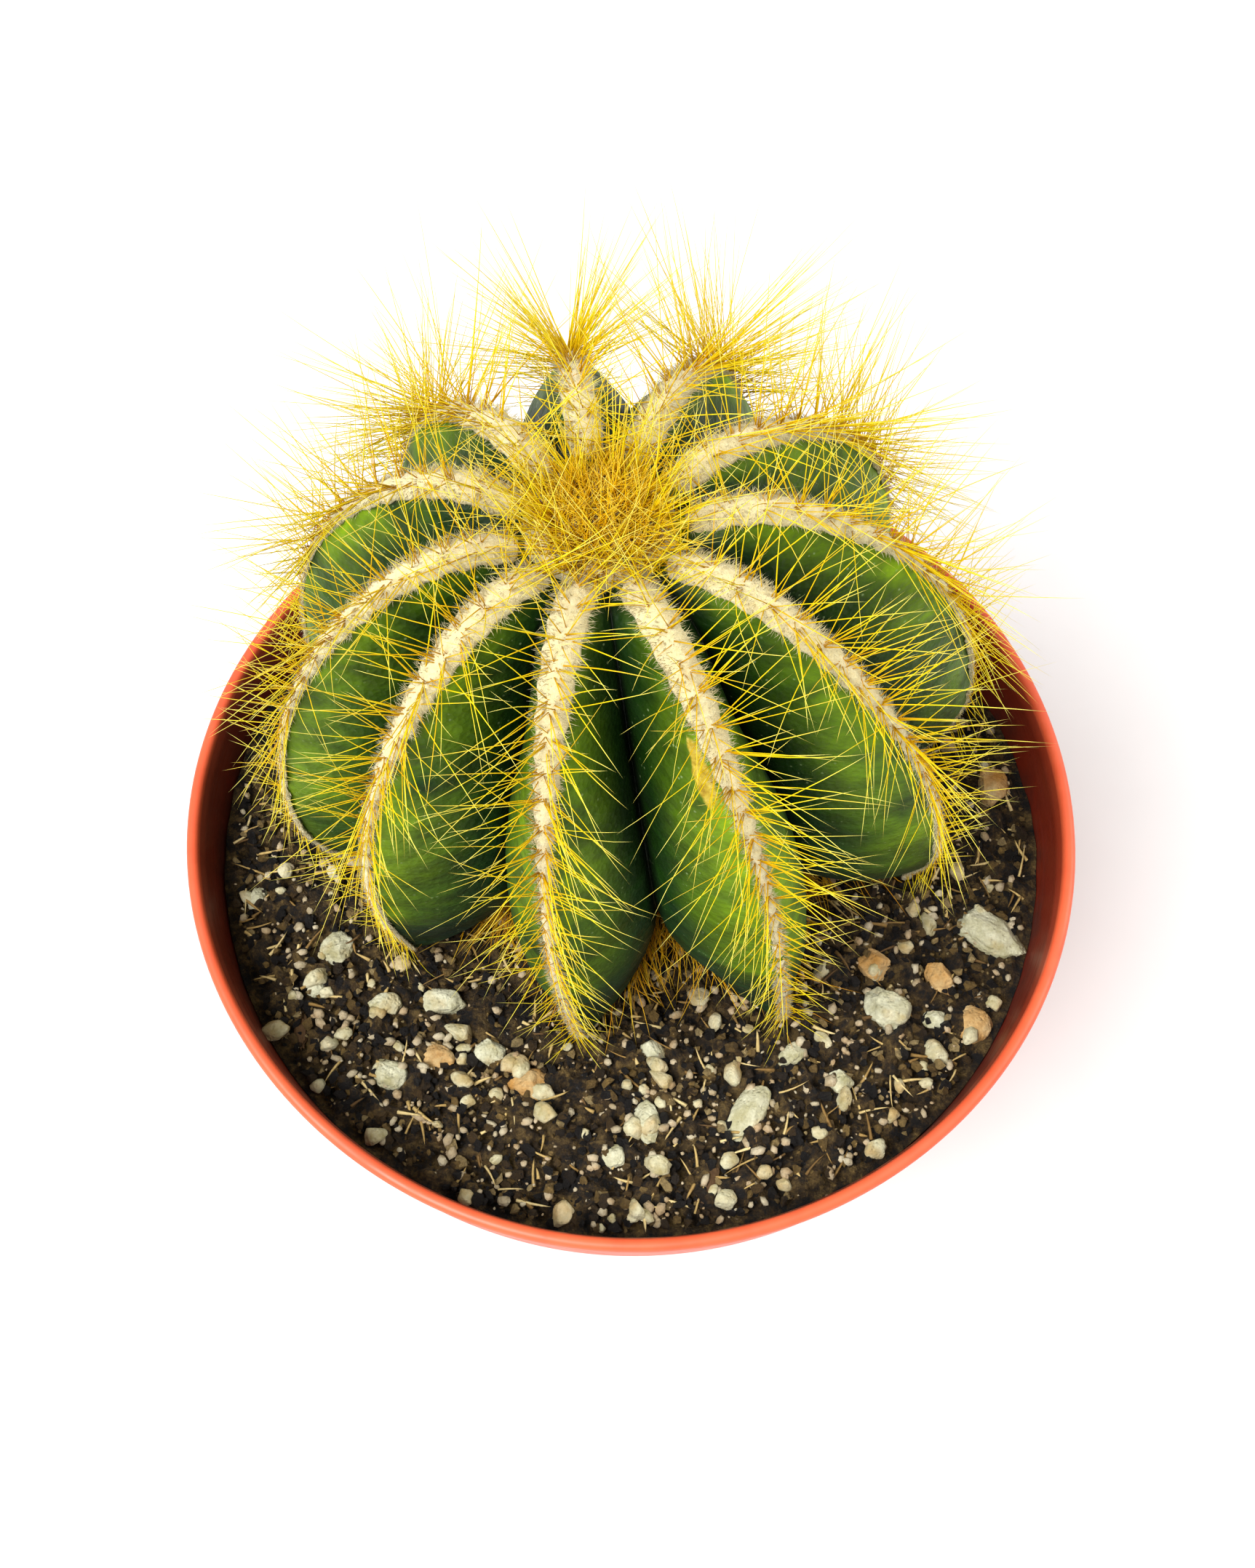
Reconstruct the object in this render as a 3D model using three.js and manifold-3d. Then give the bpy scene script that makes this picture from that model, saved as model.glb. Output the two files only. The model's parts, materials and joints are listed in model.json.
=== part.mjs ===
// Potted round cactus: a globe stem with eleven felted, golden-spined ribs, growing in a thin nursery pot.
// Millimetres, +Z up. The origin is the centre of the pot's foot, on the surface that the pot stands on.
// Azimuths are in degrees, from the front (-Y) toward the right (+X).
import * as THREE from "three";
import { mergeVertices } from "three/addons/utils/BufferGeometryUtils.js";
import Module from "manifold-3d";

const wasm = await Module();
wasm.setup();

// Pot
const POT_HEIGHT = 88;
const RIM_RADIUS = 55;
const LIP_WIDTH = 1.5;
const WALL = 1;
const FOOT_RADIUS = 37.5;
const FLOOR = 1.6;
const COLLAR_HEIGHT = 12;
const COLLAR_STEP = 1.8;
const COLLAR_TAPER = 1.2;
const LIP_OVERHANG = 0.9;
const DRAIN_COUNT = 8;
const DRAIN_SIZE = { width: 7, height: 5, depth: 9 };
const POT_SEGMENTS = 48;
const LIP_STEPS = 3;

// Gap between pieces that touch, and the tolerance that joins the vertices of one surface.
const GAP = 0.3;
const WELD = 1e-4;

// Soil
const SOIL_LEVEL = POT_HEIGHT - 10;
const SOIL_RINGS = 7;

// Stem: a ridge line turned round a leaning axis, with furrows sunk between the ribs.
const STEM_MIDDLE = new THREE.Vector3(-1.1, 3.5, SOIL_LEVEL + 23.3);
const STEM_LEAN = { x: -0.07, y: -0.05 };
const STEM_RADIUS = 37;
const STEM_RISE = 44.5;
const SHOULDER_POWER = 0.79;
const CROWN_DIMPLE = { depth: 8, radius: 9 };
const FOOT_OF_RIBS = 36;
const ROOT_DEPTH = 22;
const ROOT_RADIUS = 5;
const ARCH_RISE = 9;
const TUCK = 0.16;
// Each rib's azimuth and lean, its reach as a share of the stem's radius, how far its foot is tucked up under
// the stem (0 stands on the soil, 1 is as high as the arches), and how deep the furrow on its right is, as a
// share of a full furrow.
const RIBS = [
  { azimuth: -11, lean: 0, reach: 0.92, tuck: 0, furrow: 1 },
  { azimuth: 28, lean: 3, reach: 0.97, tuck: 0, furrow: 1 },
  { azimuth: 63, lean: 7, reach: 1.05, tuck: 0.35, furrow: 1 },
  { azimuth: 95, lean: 1, reach: 1.09, tuck: 0.6, furrow: 1 },
  { azimuth: 127, lean: 4, reach: 1.08, tuck: 0.5, furrow: 0.8 },
  { azimuth: 158, lean: 4, reach: 1.04, tuck: 0.4, furrow: 0.6 },
  { azimuth: 190, lean: 2, reach: 1.0, tuck: 0.4, furrow: 0.65 },
  { azimuth: 226, lean: 5, reach: 0.96, tuck: 0.5, furrow: 0.8 },
  { azimuth: 259, lean: 5, reach: 1.0, tuck: 0.8, furrow: 1 },
  { azimuth: 292, lean: 3, reach: 1.06, tuck: 1.1, furrow: 1 },
  { azimuth: 315, lean: -5, reach: 0.99, tuck: 0.15, furrow: 1 },
];
const STEPS_PER_RIB = 6;
const STEM_RINGS = [11, 9, 5];
const FURROW_POWER = 1.2;
const LEAN_CENTRE = 0.7;

// Felt cushions along each ridge, from the crown to the soil, and the spines on them.
const FELT_TOP = 0.14;
const FELT_END = 1.9;
const FELT_WIDTH = { top: 3.6, end: 1.5 };
const FELT_HEIGHT = 0.9;
const FELT_GAP = 0.35;
const FELT_SAG = 0.35;
const AREOLES = 10;
const SPINE_LENGTH = { top: 8, end: 7 };
const SPINE_RADIUS = 0.35;
const SPINES_PER_RIB = 14;
const MAT = { halfWidth: 0.5, halfHeight: 0.4, rise: FELT_GAP + FELT_HEIGHT + GAP + 0.3 };

// Crown
const CROWN_FELT = { radius: 8.2, thickness: 4, rise: 1.5 };
const TUFT = { spines: 26, radius: 5.5, rise: 6.3, length: 12, thickness: 0.5, splay: 0.55 };

// Loose grains on the soil: azimuth and radius of the place, then length, width and height.
const PERLITE = [
  [-77, 48.2, 3.4, 2.8, 2.2],
  [-65, 40.1, 4.3, 4.1, 3],
  [-60, 44.4, 3.1, 2.3, 2],
  [-51, 38.3, 4.2, 3.2, 2.6],
  [-44, 32.6, 5.2, 3.6, 3],
  [-29, 34, 4.1, 3.1, 2.6],
  [-41, 43.4, 4.1, 3.6, 2.8],
  [6, 30, 4, 3.4, 2.6],
  [4, 38.5, 4.8, 2.8, 2.4],
  [-2, 42.5, 3.2, 3, 2.4],
  [21, 39.8, 7.4, 4, 3.4],
  [34, 35.6, 4.6, 2.4, 2.2],
  [38, 41.4, 3.4, 3.2, 2.6],
  [54, 39.4, 6, 5.6, 4],
  [57, 44.8, 3.4, 2.6, 2.2],
  [74, 47.6, 8.6, 5.4, 4],
];
const PUMICE = [
  [-37, 38, 4.4, 3.2, 2.8],
  [-19, 35.4, 5, 4.4, 3.2],
  [60, 34.9, 4.2, 3.6, 2.8],
  [64, 43.2, 4.9, 3.4, 3],
  [60, 49.2, 5, 4.6, 3.2],
  [98, 47.8, 5.6, 4.2, 3],
];
const BARK = [
  [-55, 48.5, 5, 1.8, 1.2],
  [12, 46.5, 5.5, 2, 1.3],
];
const GRAIN_SUNK = 0.35;

const TAU = 2 * Math.PI;
const radians = (degrees) => THREE.MathUtils.degToRad(degrees);
const mix = THREE.MathUtils.lerp;
const smooth = (x, from, to) => THREE.MathUtils.smoothstep(x, from, to);

// A repeatable scatter of values between -1 and 1.
function scatter(seed) {
  const value = Math.sin(seed * 12.9898) * 43758.5453;
  return 2 * (value - Math.floor(value)) - 1;
}

function around(azimuth, radius, z = 0) {
  const angle = radians(azimuth);
  return new THREE.Vector3(radius * Math.sin(angle), -radius * Math.cos(angle), z);
}

// Closed solids from three.js geometry, and back.
function solidOf(geometry) {
  const bare = geometry.clone();
  bare.deleteAttribute("normal");
  bare.deleteAttribute("uv");
  const merged = mergeVertices(bare, WELD);
  const vertProperties = merged.attributes.position.array;
  const triVerts = new Uint32Array(merged.index.array);
  return new wasm.Manifold(new wasm.Mesh({ numProp: 3, vertProperties, triVerts }));
}

function geometryOf(solid) {
  const made = solid.getMesh();
  const geometry = new THREE.BufferGeometry();
  geometry.setAttribute("position", new THREE.BufferAttribute(made.vertProperties, 3));
  geometry.setIndex(new THREE.BufferAttribute(made.triVerts, 1));
  geometry.computeVertexNormals();
  return geometry;
}

function reshape(geometry, place) {
  const position = geometry.attributes.position;
  const vertex = new THREE.Vector3();
  for (let i = 0; i < position.count; i += 1) {
    vertex.fromBufferAttribute(position, i);
    place(vertex);
    position.setXYZ(i, vertex.x, vertex.y, vertex.z);
  }
  return geometry;
}

function material(color, roughness) {
  return new THREE.MeshStandardMaterial({ color, roughness, metalness: 0, flatShading: true });
}

const terracotta = material(0xe0603c, 0.45);
const peat = material(0x33261c, 0.95);
const greenSkin = material(0x4f7a4a, 0.6);
const creamFelt = material(0xf4ead2, 0.95);
const goldenSpine = material(0xd9b127, 0.5);
const perliteWhite = material(0xece6d8, 0.9);
const pumiceTan = material(0xcfae83, 0.9);
const barkBrown = material(0x9c7346, 0.9);

const cactus = new THREE.Group();
cactus.name = "potted_round_cactus";

function addPiece(name, geometry, finish) {
  const piece = new THREE.Mesh(geometry, finish);
  piece.name = name;
  cactus.add(piece);
}

// Pot: a flat foot, a flaring wall, a stepped collar and a rolled lip.
const COLLAR_Z = POT_HEIGHT - COLLAR_HEIGHT;
const INNER_RIM = RIM_RADIUS - LIP_WIDTH;
const COLLAR_INNER = INNER_RIM - COLLAR_TAPER;
const STEP_RISE = 1.4;

function potOutline() {
  const lip = LIP_WIDTH / 2;
  const outline = new THREE.Path();
  outline.moveTo(0, 0);
  outline.lineTo(FOOT_RADIUS - 1, 0);
  outline.lineTo(FOOT_RADIUS, 1);
  outline.lineTo(COLLAR_INNER + WALL - COLLAR_STEP, COLLAR_Z - 1);
  outline.lineTo(COLLAR_INNER + WALL, COLLAR_Z);
  outline.lineTo(RIM_RADIUS - LIP_OVERHANG, POT_HEIGHT - 2);
  outline.absarc(RIM_RADIUS - lip, POT_HEIGHT - lip, lip, -0.9, Math.PI, false);
  outline.lineTo(INNER_RIM - 0.3, POT_HEIGHT - 1.8);
  outline.lineTo(COLLAR_INNER, COLLAR_Z);
  outline.lineTo(COLLAR_INNER - COLLAR_STEP, COLLAR_Z - STEP_RISE);
  outline.lineTo(FOOT_RADIUS - WALL, FLOOR);
  outline.lineTo(0, FLOOR);
  return outline.getPoints(LIP_STEPS);
}

function upright(outline, segments) {
  return new THREE.LatheGeometry(outline, segments).rotateX(Math.PI / 2);
}

function makePot() {
  let pot = solidOf(upright(potOutline(), POT_SEGMENTS));
  for (let k = 0; k < DRAIN_COUNT; k += 1) {
    const azimuth = (360 / DRAIN_COUNT) * (k + 0.5);
    const drain = new THREE.BoxGeometry(DRAIN_SIZE.width, DRAIN_SIZE.depth, 2 * DRAIN_SIZE.height);
    drain.translate(0, -FOOT_RADIUS, 0);
    drain.rotateZ(radians(azimuth));
    pot = pot.subtract(solidOf(drain));
  }
  return pot;
}

// Stem surface. "station" runs 0 to 1 from the crown to the widest height, to 2 at the soil, to 3 at the root.
// "side" runs 0 to 11 round the stem, with a rib at each whole number.
const RIB_COUNT = RIBS.length;

function ridgeOutline(station) {
  if (station <= 1) {
    const polar = (station * Math.PI) / 2;
    const r = STEM_RADIUS * Math.sin(polar) ** SHOULDER_POWER;
    const dimple = CROWN_DIMPLE.depth * Math.exp(-((r / CROWN_DIMPLE.radius) ** 2));
    return { r, z: STEM_RISE * Math.cos(polar) - dimple };
  }
  const soil = SOIL_LEVEL - STEM_MIDDLE.z;
  if (station <= 2) {
    const t = station - 1;
    return { r: mix(STEM_RADIUS, FOOT_OF_RIBS, t ** 2), z: soil * t };
  }
  const t = station - 2;
  const r = mix(FOOT_OF_RIBS, ROOT_RADIUS, Math.min(1, 1.25 * t) ** 0.8) * Math.min(1, 4.2 * (1 - t));
  return { r, z: soil - ROOT_DEPTH * t };
}

function furrowDepth(station) {
  if (station <= 1) return 0.28 * smooth(station, 0.02, 0.45);
  if (station <= 2) return mix(0.28, 0.34, station - 1);
  return 0.34 * (1 - smooth(station, 2, 2.7));
}

function ribAt(index, station) {
  const rib = RIBS[((index % RIB_COUNT) + RIB_COUNT) % RIB_COUNT];
  const turns = Math.floor(index / RIB_COUNT);
  const azimuth = rib.azimuth + rib.lean * (station - LEAN_CENTRE) + 360 * turns;
  const reach = rib.reach * (1 - TUCK * rib.tuck * smooth(station, 0.9, 2));
  return { azimuth, reach, tuck: rib.tuck, furrow: rib.furrow };
}

function stemPoint(station, side, proud = 0) {
  const index = Math.floor(side);
  const share = side - index;
  const here = ribAt(index, station);
  const next = ribAt(index + 1, station);
  const fromRidge = 1 - Math.abs(1 - 2 * share);
  const sunk = 1 - here.furrow * furrowDepth(station) * fromRidge ** FURROW_POWER;
  const { r, z } = ridgeOutline(station);
  const rootward = smooth(station, 2, 2.6);
  const reach = mix(mix(here.reach, next.reach, share), 1, rootward);
  const tip = (Math.min(station, 1) + Math.max(station - 2, 0)) * (Math.PI / 2);
  const radius = r * reach * sunk + proud * Math.sin(tip);
  const fold = mix(mix(here.tuck, next.tuck, share), 1, fromRidge ** 0.9);
  const arch = ARCH_RISE * fold * smooth(station, 1.2, 2) * (1 - rootward);
  const height = z * sunk + arch + proud * Math.cos(tip);
  const point = around(mix(here.azimuth, next.azimuth, share), radius, height);
  point.x += STEM_LEAN.x * point.z + STEM_MIDDLE.x;
  point.y += STEM_LEAN.y * point.z + STEM_MIDDLE.y;
  point.z += STEM_MIDDLE.z;
  return point;
}

function makeStem(proud = 0) {
  const [upper, lower, root] = STEM_RINGS;
  const rings = upper + lower + root;
  const ball = new THREE.SphereGeometry(1, RIB_COUNT * STEPS_PER_RIB, rings).rotateX(Math.PI / 2);
  const columns = RIB_COUNT * STEPS_PER_RIB + 1;
  let count = 0;
  reshape(ball, (vertex) => {
    const row = Math.floor(count / columns);
    const column = count % columns;
    const pole = row === 0 || row === rings;
    let station = row / upper;
    if (row > upper) station = 1 + (row - upper) / lower;
    if (row > upper + lower) station = 2 + (row - upper - lower) / root;
    vertex.copy(stemPoint(station, pole ? 0 : column / STEPS_PER_RIB, proud));
    count += 1;
  });
  return solidOf(ball);
}

// Soil: fills the pot to just below the collar's top, heaped slightly and crumbly.
function soilHeight(x, y) {
  const heap = 0.6 * Math.sin(0.11 * x + 0.6) + 0.5 * Math.cos(0.13 * y - 0.4);
  const crumb = 0.45 * Math.sin(0.71 * x + 0.37 * y) * Math.cos(0.63 * y - 0.29 * x);
  return SOIL_LEVEL + heap + crumb;
}

function makeSoil() {
  const floor = FLOOR + GAP;
  const outline = [
    new THREE.Vector2(0, floor),
    new THREE.Vector2(FOOT_RADIUS - WALL - GAP, floor),
    new THREE.Vector2(COLLAR_INNER - COLLAR_STEP - GAP, COLLAR_Z - STEP_RISE),
    new THREE.Vector2(COLLAR_INNER - GAP, COLLAR_Z + 0.3),
  ];
  for (let ring = SOIL_RINGS; ring >= 0; ring -= 1) {
    outline.push(new THREE.Vector2(((COLLAR_INNER - GAP) * ring) / SOIL_RINGS, SOIL_LEVEL));
  }
  const soil = upright(outline, POT_SEGMENTS);
  return solidOf(
    reshape(soil, (vertex) => {
      if (vertex.z > SOIL_LEVEL - 0.01) vertex.z = soilHeight(vertex.x, vertex.y);
    }),
  );
}

// Grains: rough lumps, each lying a third sunk in its own hollow of the soil.
function makeGrain([azimuth, radius, length, width, height], seed, grown = 0) {
  const lump = new THREE.IcosahedronGeometry(0.5, length > 4 ? 1 : 0);
  const spot = around(azimuth, radius);
  const middle = soilHeight(spot.x, spot.y) + height * (0.5 - GRAIN_SUNK);
  reshape(lump, (vertex) => {
    const key = Math.round(50 * (vertex.x + 2 * vertex.y + 3 * vertex.z));
    const rough = 1 + 0.09 * scatter(key + seed);
    vertex.multiply(new THREE.Vector3(length, width, height)).multiplyScalar(rough);
    vertex.addScaledVector(vertex.clone().normalize(), grown);
    vertex.applyAxisAngle(new THREE.Vector3(0, 0, 1), seed * 1.3);
    vertex.add(new THREE.Vector3(spot.x, spot.y, middle));
  });
  return lump;
}

// Felt along a rib: a beaded strip that saddles the ridge, wide at the crown and narrow at the soil.
const FELT_STEPS = 2 * AREOLES;

function ridgeFrame(rib, station) {
  const ridge = stemPoint(station, rib);
  const along = stemPoint(station + 0.02, rib).sub(stemPoint(station - 0.02, rib)).normalize();
  const aside = stemPoint(station, rib + 0.25).sub(stemPoint(station, rib - 0.25));
  aside.addScaledVector(along, -aside.dot(along)).normalize();
  const out = new THREE.Vector3().crossVectors(along, aside).normalize();
  return { ridge, along, aside, out };
}

function feltStation(share) {
  return mix(FELT_TOP, FELT_END, share);
}

function makeFelt(rib) {
  const strip = new THREE.CylinderGeometry(1, 1, 1, 5, FELT_STEPS).rotateX(Math.PI / 2);
  return reshape(strip, (vertex) => {
    const share = vertex.z + 0.5;
    const bead = 0.78 + 0.22 * Math.cos(TAU * AREOLES * share);
    const taper = share < 0.001 || share > 0.999 ? 0.5 : 1;
    const halfWidth = 0.5 * mix(FELT_WIDTH.top, FELT_WIDTH.end, smooth(share, 0, 0.6)) * bead * taper;
    const { ridge, aside, out } = ridgeFrame(rib, feltStation(share));
    const across = vertex.x * halfWidth;
    const rise = FELT_GAP + FELT_HEIGHT * 0.5 * (1 + vertex.y * taper) - FELT_SAG * Math.abs(across);
    vertex.copy(ridge).addScaledVector(aside, across).addScaledVector(out, rise);
  });
}

// Spines of a rib: pairs splayed to both sides from a mat of short middle spines that lies on the felt.
function makeNeedle(base, direction, length, radius) {
  const needle = new THREE.ConeGeometry(radius, length, 3).translate(0, length / 2, 0);
  const turn = new THREE.Quaternion().setFromUnitVectors(new THREE.Vector3(0, 1, 0), direction);
  return solidOf(needle.applyQuaternion(turn).translate(base.x, base.y, base.z));
}

function makeSpineMat(rib) {
  const mat = new THREE.CylinderGeometry(1, 1, 1, 3, SPINES_PER_RIB).rotateX(Math.PI / 2);
  return reshape(mat, (vertex) => {
    const share = mix(0.02, 0.98, vertex.z + 0.5);
    const { ridge, aside, out } = ridgeFrame(rib, feltStation(share));
    const across = MAT.halfWidth * vertex.x;
    const rise = MAT.rise + MAT.halfHeight * vertex.y;
    vertex.copy(ridge).addScaledVector(aside, across).addScaledVector(out, rise);
  });
}

function makeRibSpines(rib) {
  let comb = solidOf(makeSpineMat(rib));
  for (let k = 0; k < SPINES_PER_RIB; k += 1) {
    const share = (k + 0.5) / SPINES_PER_RIB;
    const hand = k % 2 ? 1 : -1;
    const steep = Math.floor(k / 2) % 2;
    const { ridge, along, aside, out } = ridgeFrame(rib, feltStation(share));
    const base = ridge.addScaledVector(out, MAT.rise - 0.1);
    const direction = out.clone().multiplyScalar(0.6 + 0.5 * steep);
    direction.addScaledVector(aside, hand * (1 - 0.35 * steep));
    direction.addScaledVector(along, 0.4 * share - 0.2 * steep).normalize();
    const length = mix(SPINE_LENGTH.top, SPINE_LENGTH.end, share);
    comb = comb.add(makeNeedle(base, direction, length, SPINE_RADIUS));
  }
  return comb;
}

// Crown: a felt cushion in the dimple, with an upright tuft of young spines standing in it.
const CROWN = stemPoint(0, 0);

function makeCrownFelt() {
  const cushion = new THREE.SphereGeometry(1, 16, 8).rotateX(Math.PI / 2);
  cushion.scale(CROWN_FELT.radius, CROWN_FELT.radius, CROWN_FELT.thickness);
  return solidOf(cushion.translate(CROWN.x, CROWN.y, CROWN.z + CROWN_FELT.rise));
}

function makeTuft() {
  const disc = new THREE.CylinderGeometry(TUFT.radius, TUFT.radius - 1, 1, 12).rotateX(Math.PI / 2);
  const floor = new THREE.Vector3(CROWN.x, CROWN.y, CROWN.z + TUFT.rise);
  let tuft = solidOf(disc.translate(floor.x, floor.y, floor.z));
  for (let k = 0; k < TUFT.spines; k += 1) {
    const share = Math.sqrt((k + 0.5) / TUFT.spines);
    const out = around(k * 137.5, share);
    const base = floor.clone().addScaledVector(out, TUFT.radius * 0.8);
    const direction = new THREE.Vector3(0, 0, 1).addScaledVector(out, TUFT.splay).normalize();
    tuft = tuft.add(makeNeedle(base, direction, TUFT.length * (1 - 0.2 * share), TUFT.thickness));
  }
  return tuft;
}

const number = (k) => String(k + 1).padStart(2, "0");

addPiece("pot", geometryOf(makePot()), terracotta);

const stem = makeStem();
let soil = makeSoil().subtract(makeStem(GAP));

const GRAIN_KINDS = [
  { name: "perlite_grain", grains: PERLITE, finish: perliteWhite },
  { name: "pumice_stone", grains: PUMICE, finish: pumiceTan },
  { name: "bark_sliver", grains: BARK, finish: barkBrown },
];
for (const { name, grains, finish } of GRAIN_KINDS) {
  grains.forEach((grain, k) => {
    const seed = 7 * k + name.length;
    addPiece(`${name}_${number(k)}`, geometryOf(solidOf(makeGrain(grain, seed))), finish);
    soil = soil.subtract(solidOf(makeGrain(grain, seed, GAP)));
  });
}

addPiece("potting_soil", geometryOf(soil), peat);
const crownFelt = makeCrownFelt().subtract(makeStem(GAP));
addPiece("cactus_stem", geometryOf(stem), greenSkin);
addPiece("crown_felt", geometryOf(crownFelt), creamFelt);
addPiece("crown_spines", geometryOf(makeTuft()), goldenSpine);
RIBS.forEach((_, rib) => {
  addPiece(`rib_felt_${number(rib)}`, geometryOf(solidOf(makeFelt(rib))), creamFelt);
  addPiece(`rib_spines_${number(rib)}`, geometryOf(makeRibSpines(rib)), goldenSpine);
});

export default cactus;
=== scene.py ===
"""A round ribbed cactus in a thin plastic nursery pot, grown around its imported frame.

Lengths are in metres, +Z is up and the front of the plant looks along -Y. Azimuths run from the front
toward the right. Along a rib, a station of 0 is the crown, 1 the widest height, 2 the soil and 3 the
root's tip. Round the stem, a side of 0, 1, 2 and so on is a ridge, and halfway between two is a furrow.
"""

import json
import math
import random

import bpy
import numpy as np
from bpy.props import FloatProperty, FloatVectorProperty, IntProperty, PointerProperty
from mathutils import Matrix, Vector, noise

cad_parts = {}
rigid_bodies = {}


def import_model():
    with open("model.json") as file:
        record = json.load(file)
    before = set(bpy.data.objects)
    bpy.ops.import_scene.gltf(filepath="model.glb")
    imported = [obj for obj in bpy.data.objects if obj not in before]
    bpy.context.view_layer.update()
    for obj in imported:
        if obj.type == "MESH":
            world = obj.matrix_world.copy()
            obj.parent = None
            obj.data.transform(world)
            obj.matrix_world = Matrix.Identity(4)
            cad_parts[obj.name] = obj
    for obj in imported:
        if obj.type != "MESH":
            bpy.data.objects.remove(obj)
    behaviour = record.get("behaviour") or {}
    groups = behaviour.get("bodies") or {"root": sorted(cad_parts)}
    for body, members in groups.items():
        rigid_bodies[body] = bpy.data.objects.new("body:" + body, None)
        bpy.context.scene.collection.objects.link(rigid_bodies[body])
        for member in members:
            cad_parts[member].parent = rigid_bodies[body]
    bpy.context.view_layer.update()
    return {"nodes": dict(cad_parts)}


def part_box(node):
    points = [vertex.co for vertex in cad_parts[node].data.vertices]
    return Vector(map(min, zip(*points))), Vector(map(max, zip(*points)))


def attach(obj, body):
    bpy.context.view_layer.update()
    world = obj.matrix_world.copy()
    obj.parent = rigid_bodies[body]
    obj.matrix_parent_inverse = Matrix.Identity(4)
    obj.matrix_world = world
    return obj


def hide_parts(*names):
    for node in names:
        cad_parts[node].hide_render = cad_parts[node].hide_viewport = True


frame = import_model()

bl_info = {
    "name": "Potted round cactus",
    "version": (1, 0, 0),
    "blender": (4, 5, 0),
    "location": "3D View > Sidebar > Cactus",
    "description": "Makes a ribbed cactus with felt and golden spines, its soil and its nursery pot",
    "category": "Object",
}

MM = 0.001
TAU = 2 * math.pi
SEED = 11

# Pot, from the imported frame.
POT_LOW, POT_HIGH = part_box("pot")
RIM_RADIUS = (POT_HIGH[0] - POT_LOW[0]) / 2
POT_HEIGHT = POT_HIGH[2]
LIP_WIDTH = 1.5 * MM
WALL = 1 * MM
FOOT_RADIUS = 37.5 * MM
FLOOR = 1.6 * MM
COLLAR_Z = POT_HEIGHT - 12 * MM
COLLAR_INNER = RIM_RADIUS - LIP_WIDTH - 1.2 * MM
COLLAR_STEP = 1.8 * MM
LIP_OVERHANG = 0.9 * MM
STEP_RISE = 1.4 * MM
DRAIN_COUNT = 8
DRAIN_SIZE = (7 * MM, 9 * MM, 10 * MM)
DRAIN_ROUNDING = 1.6 * MM
POT_SEGMENTS = 240

# Soil, and the foot of the stem that loose grains keep clear of.
SOIL_LEVEL = POT_HEIGHT - 10 * MM
SOIL_RADIUS = COLLAR_INNER - 0.15 * MM
SOIL_GAP = 0.3 * MM
SOIL_CLODS = 2.1 * MM
SOIL_SEGMENTS = 420
SOIL_RINGS = 130
STEM_FOOT = (0.5 * MM, 4.6 * MM)
STEM_FOOT_RADIUS = 20 * MM

# Stem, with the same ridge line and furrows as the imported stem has.
STEM_MIDDLE = np.array([-1.1 * MM, 3.5 * MM, SOIL_LEVEL + 23.3 * MM])
STEM_LEAN = np.array([-0.07, -0.05, 1.0])
STEM_RADIUS = 37 * MM
STEM_RISE = 44.5 * MM
SHOULDER_POWER = 0.79
DIMPLE_DEPTH = 8 * MM
DIMPLE_RADIUS = 9 * MM
FOOT_OF_RIBS = 36 * MM
ROOT_DEPTH = 22 * MM
ROOT_RADIUS = 5 * MM
ARCH_RISE = 9 * MM
TUCK = 0.16
# One rib each: its azimuth and lean in degrees, its reach as a share of the stem's radius, how far its foot
# is tucked up under the stem, from 0 on the soil to 1 as high as the furrows' arches, and the depth of the
# furrow that follows it, as a share of a full furrow.
RIBS = np.array(
    [
        (-11, 0, 0.92, 0, 1),
        (28, 3, 0.97, 0, 1),
        (63, 7, 1.05, 0.35, 1),
        (95, 1, 1.09, 0.6, 1),
        (127, 4, 1.08, 0.5, 0.8),
        (158, 4, 1.04, 0.4, 0.6),
        (190, 2, 1.0, 0.4, 0.65),
        (226, 5, 0.96, 0.5, 0.8),
        (259, 5, 1.0, 0.8, 1),
        (292, 3, 1.06, 1.1, 1),
        (315, -5, 0.99, 0.15, 1),
    ]
)
RIB_COUNT = len(RIBS)
RIB_AZIMUTH = np.radians(RIBS[:, 0])
RIB_LEAN = np.radians(RIBS[:, 1])
RIB_REACH = RIBS[:, 2]
RIB_TUCK = RIBS[:, 3]
RIB_FURROW = RIBS[:, 4]
# The shares of the skin's rings that end at each whole station, and the side and station of the corky scar.
RING_SHARES = (0, 0.58, 0.86, 1)
SCAR_PLACE = (0.88, 0.44)
SCAR_SIZE = (0.05, 0.075)

# Felt and spines.
FELT_START = 0.085
FELT_END = 1.97
CROWN_HAIRS = 1500
TUFT_RADIUS = 6 * MM
CURL_RADIUS = 0.05 * MM
CROWN = STEM_MIDDLE + STEM_LEAN * (STEM_RISE - DIMPLE_DEPTH)


# ---------------------------------------------------------------- helpers


def srgb(red, green, blue):
    """A colour given as 0 to 255 display values, as Blender's linear values."""
    return tuple((v / 255) ** 2.2 for v in (red, green, blue))


def mix(a, b, share):
    return a + (b - a) * share


def smooth(x, low, high):
    t = np.clip((x - low) / (high - low), 0, 1)
    return t * t * (3 - 2 * t)


def unit(vectors):
    return vectors / np.maximum(np.linalg.norm(vectors, axis=-1, keepdims=True), 1e-12)


def around(azimuth, radius, z=0.0):
    return np.array([radius * math.sin(azimuth), -radius * math.cos(azimuth), z])


def settings(context):
    return context.scene.cactus


def deselect_all():
    bpy.ops.object.select_all(action="DESELECT")


def take(obj):
    deselect_all()
    obj.select_set(True)
    bpy.context.view_layer.objects.active = obj


def vertices_of(obj):
    places = np.empty(len(obj.data.vertices) * 3)
    obj.data.vertices.foreach_get("co", places)
    return places.reshape(-1, 3)


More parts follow.
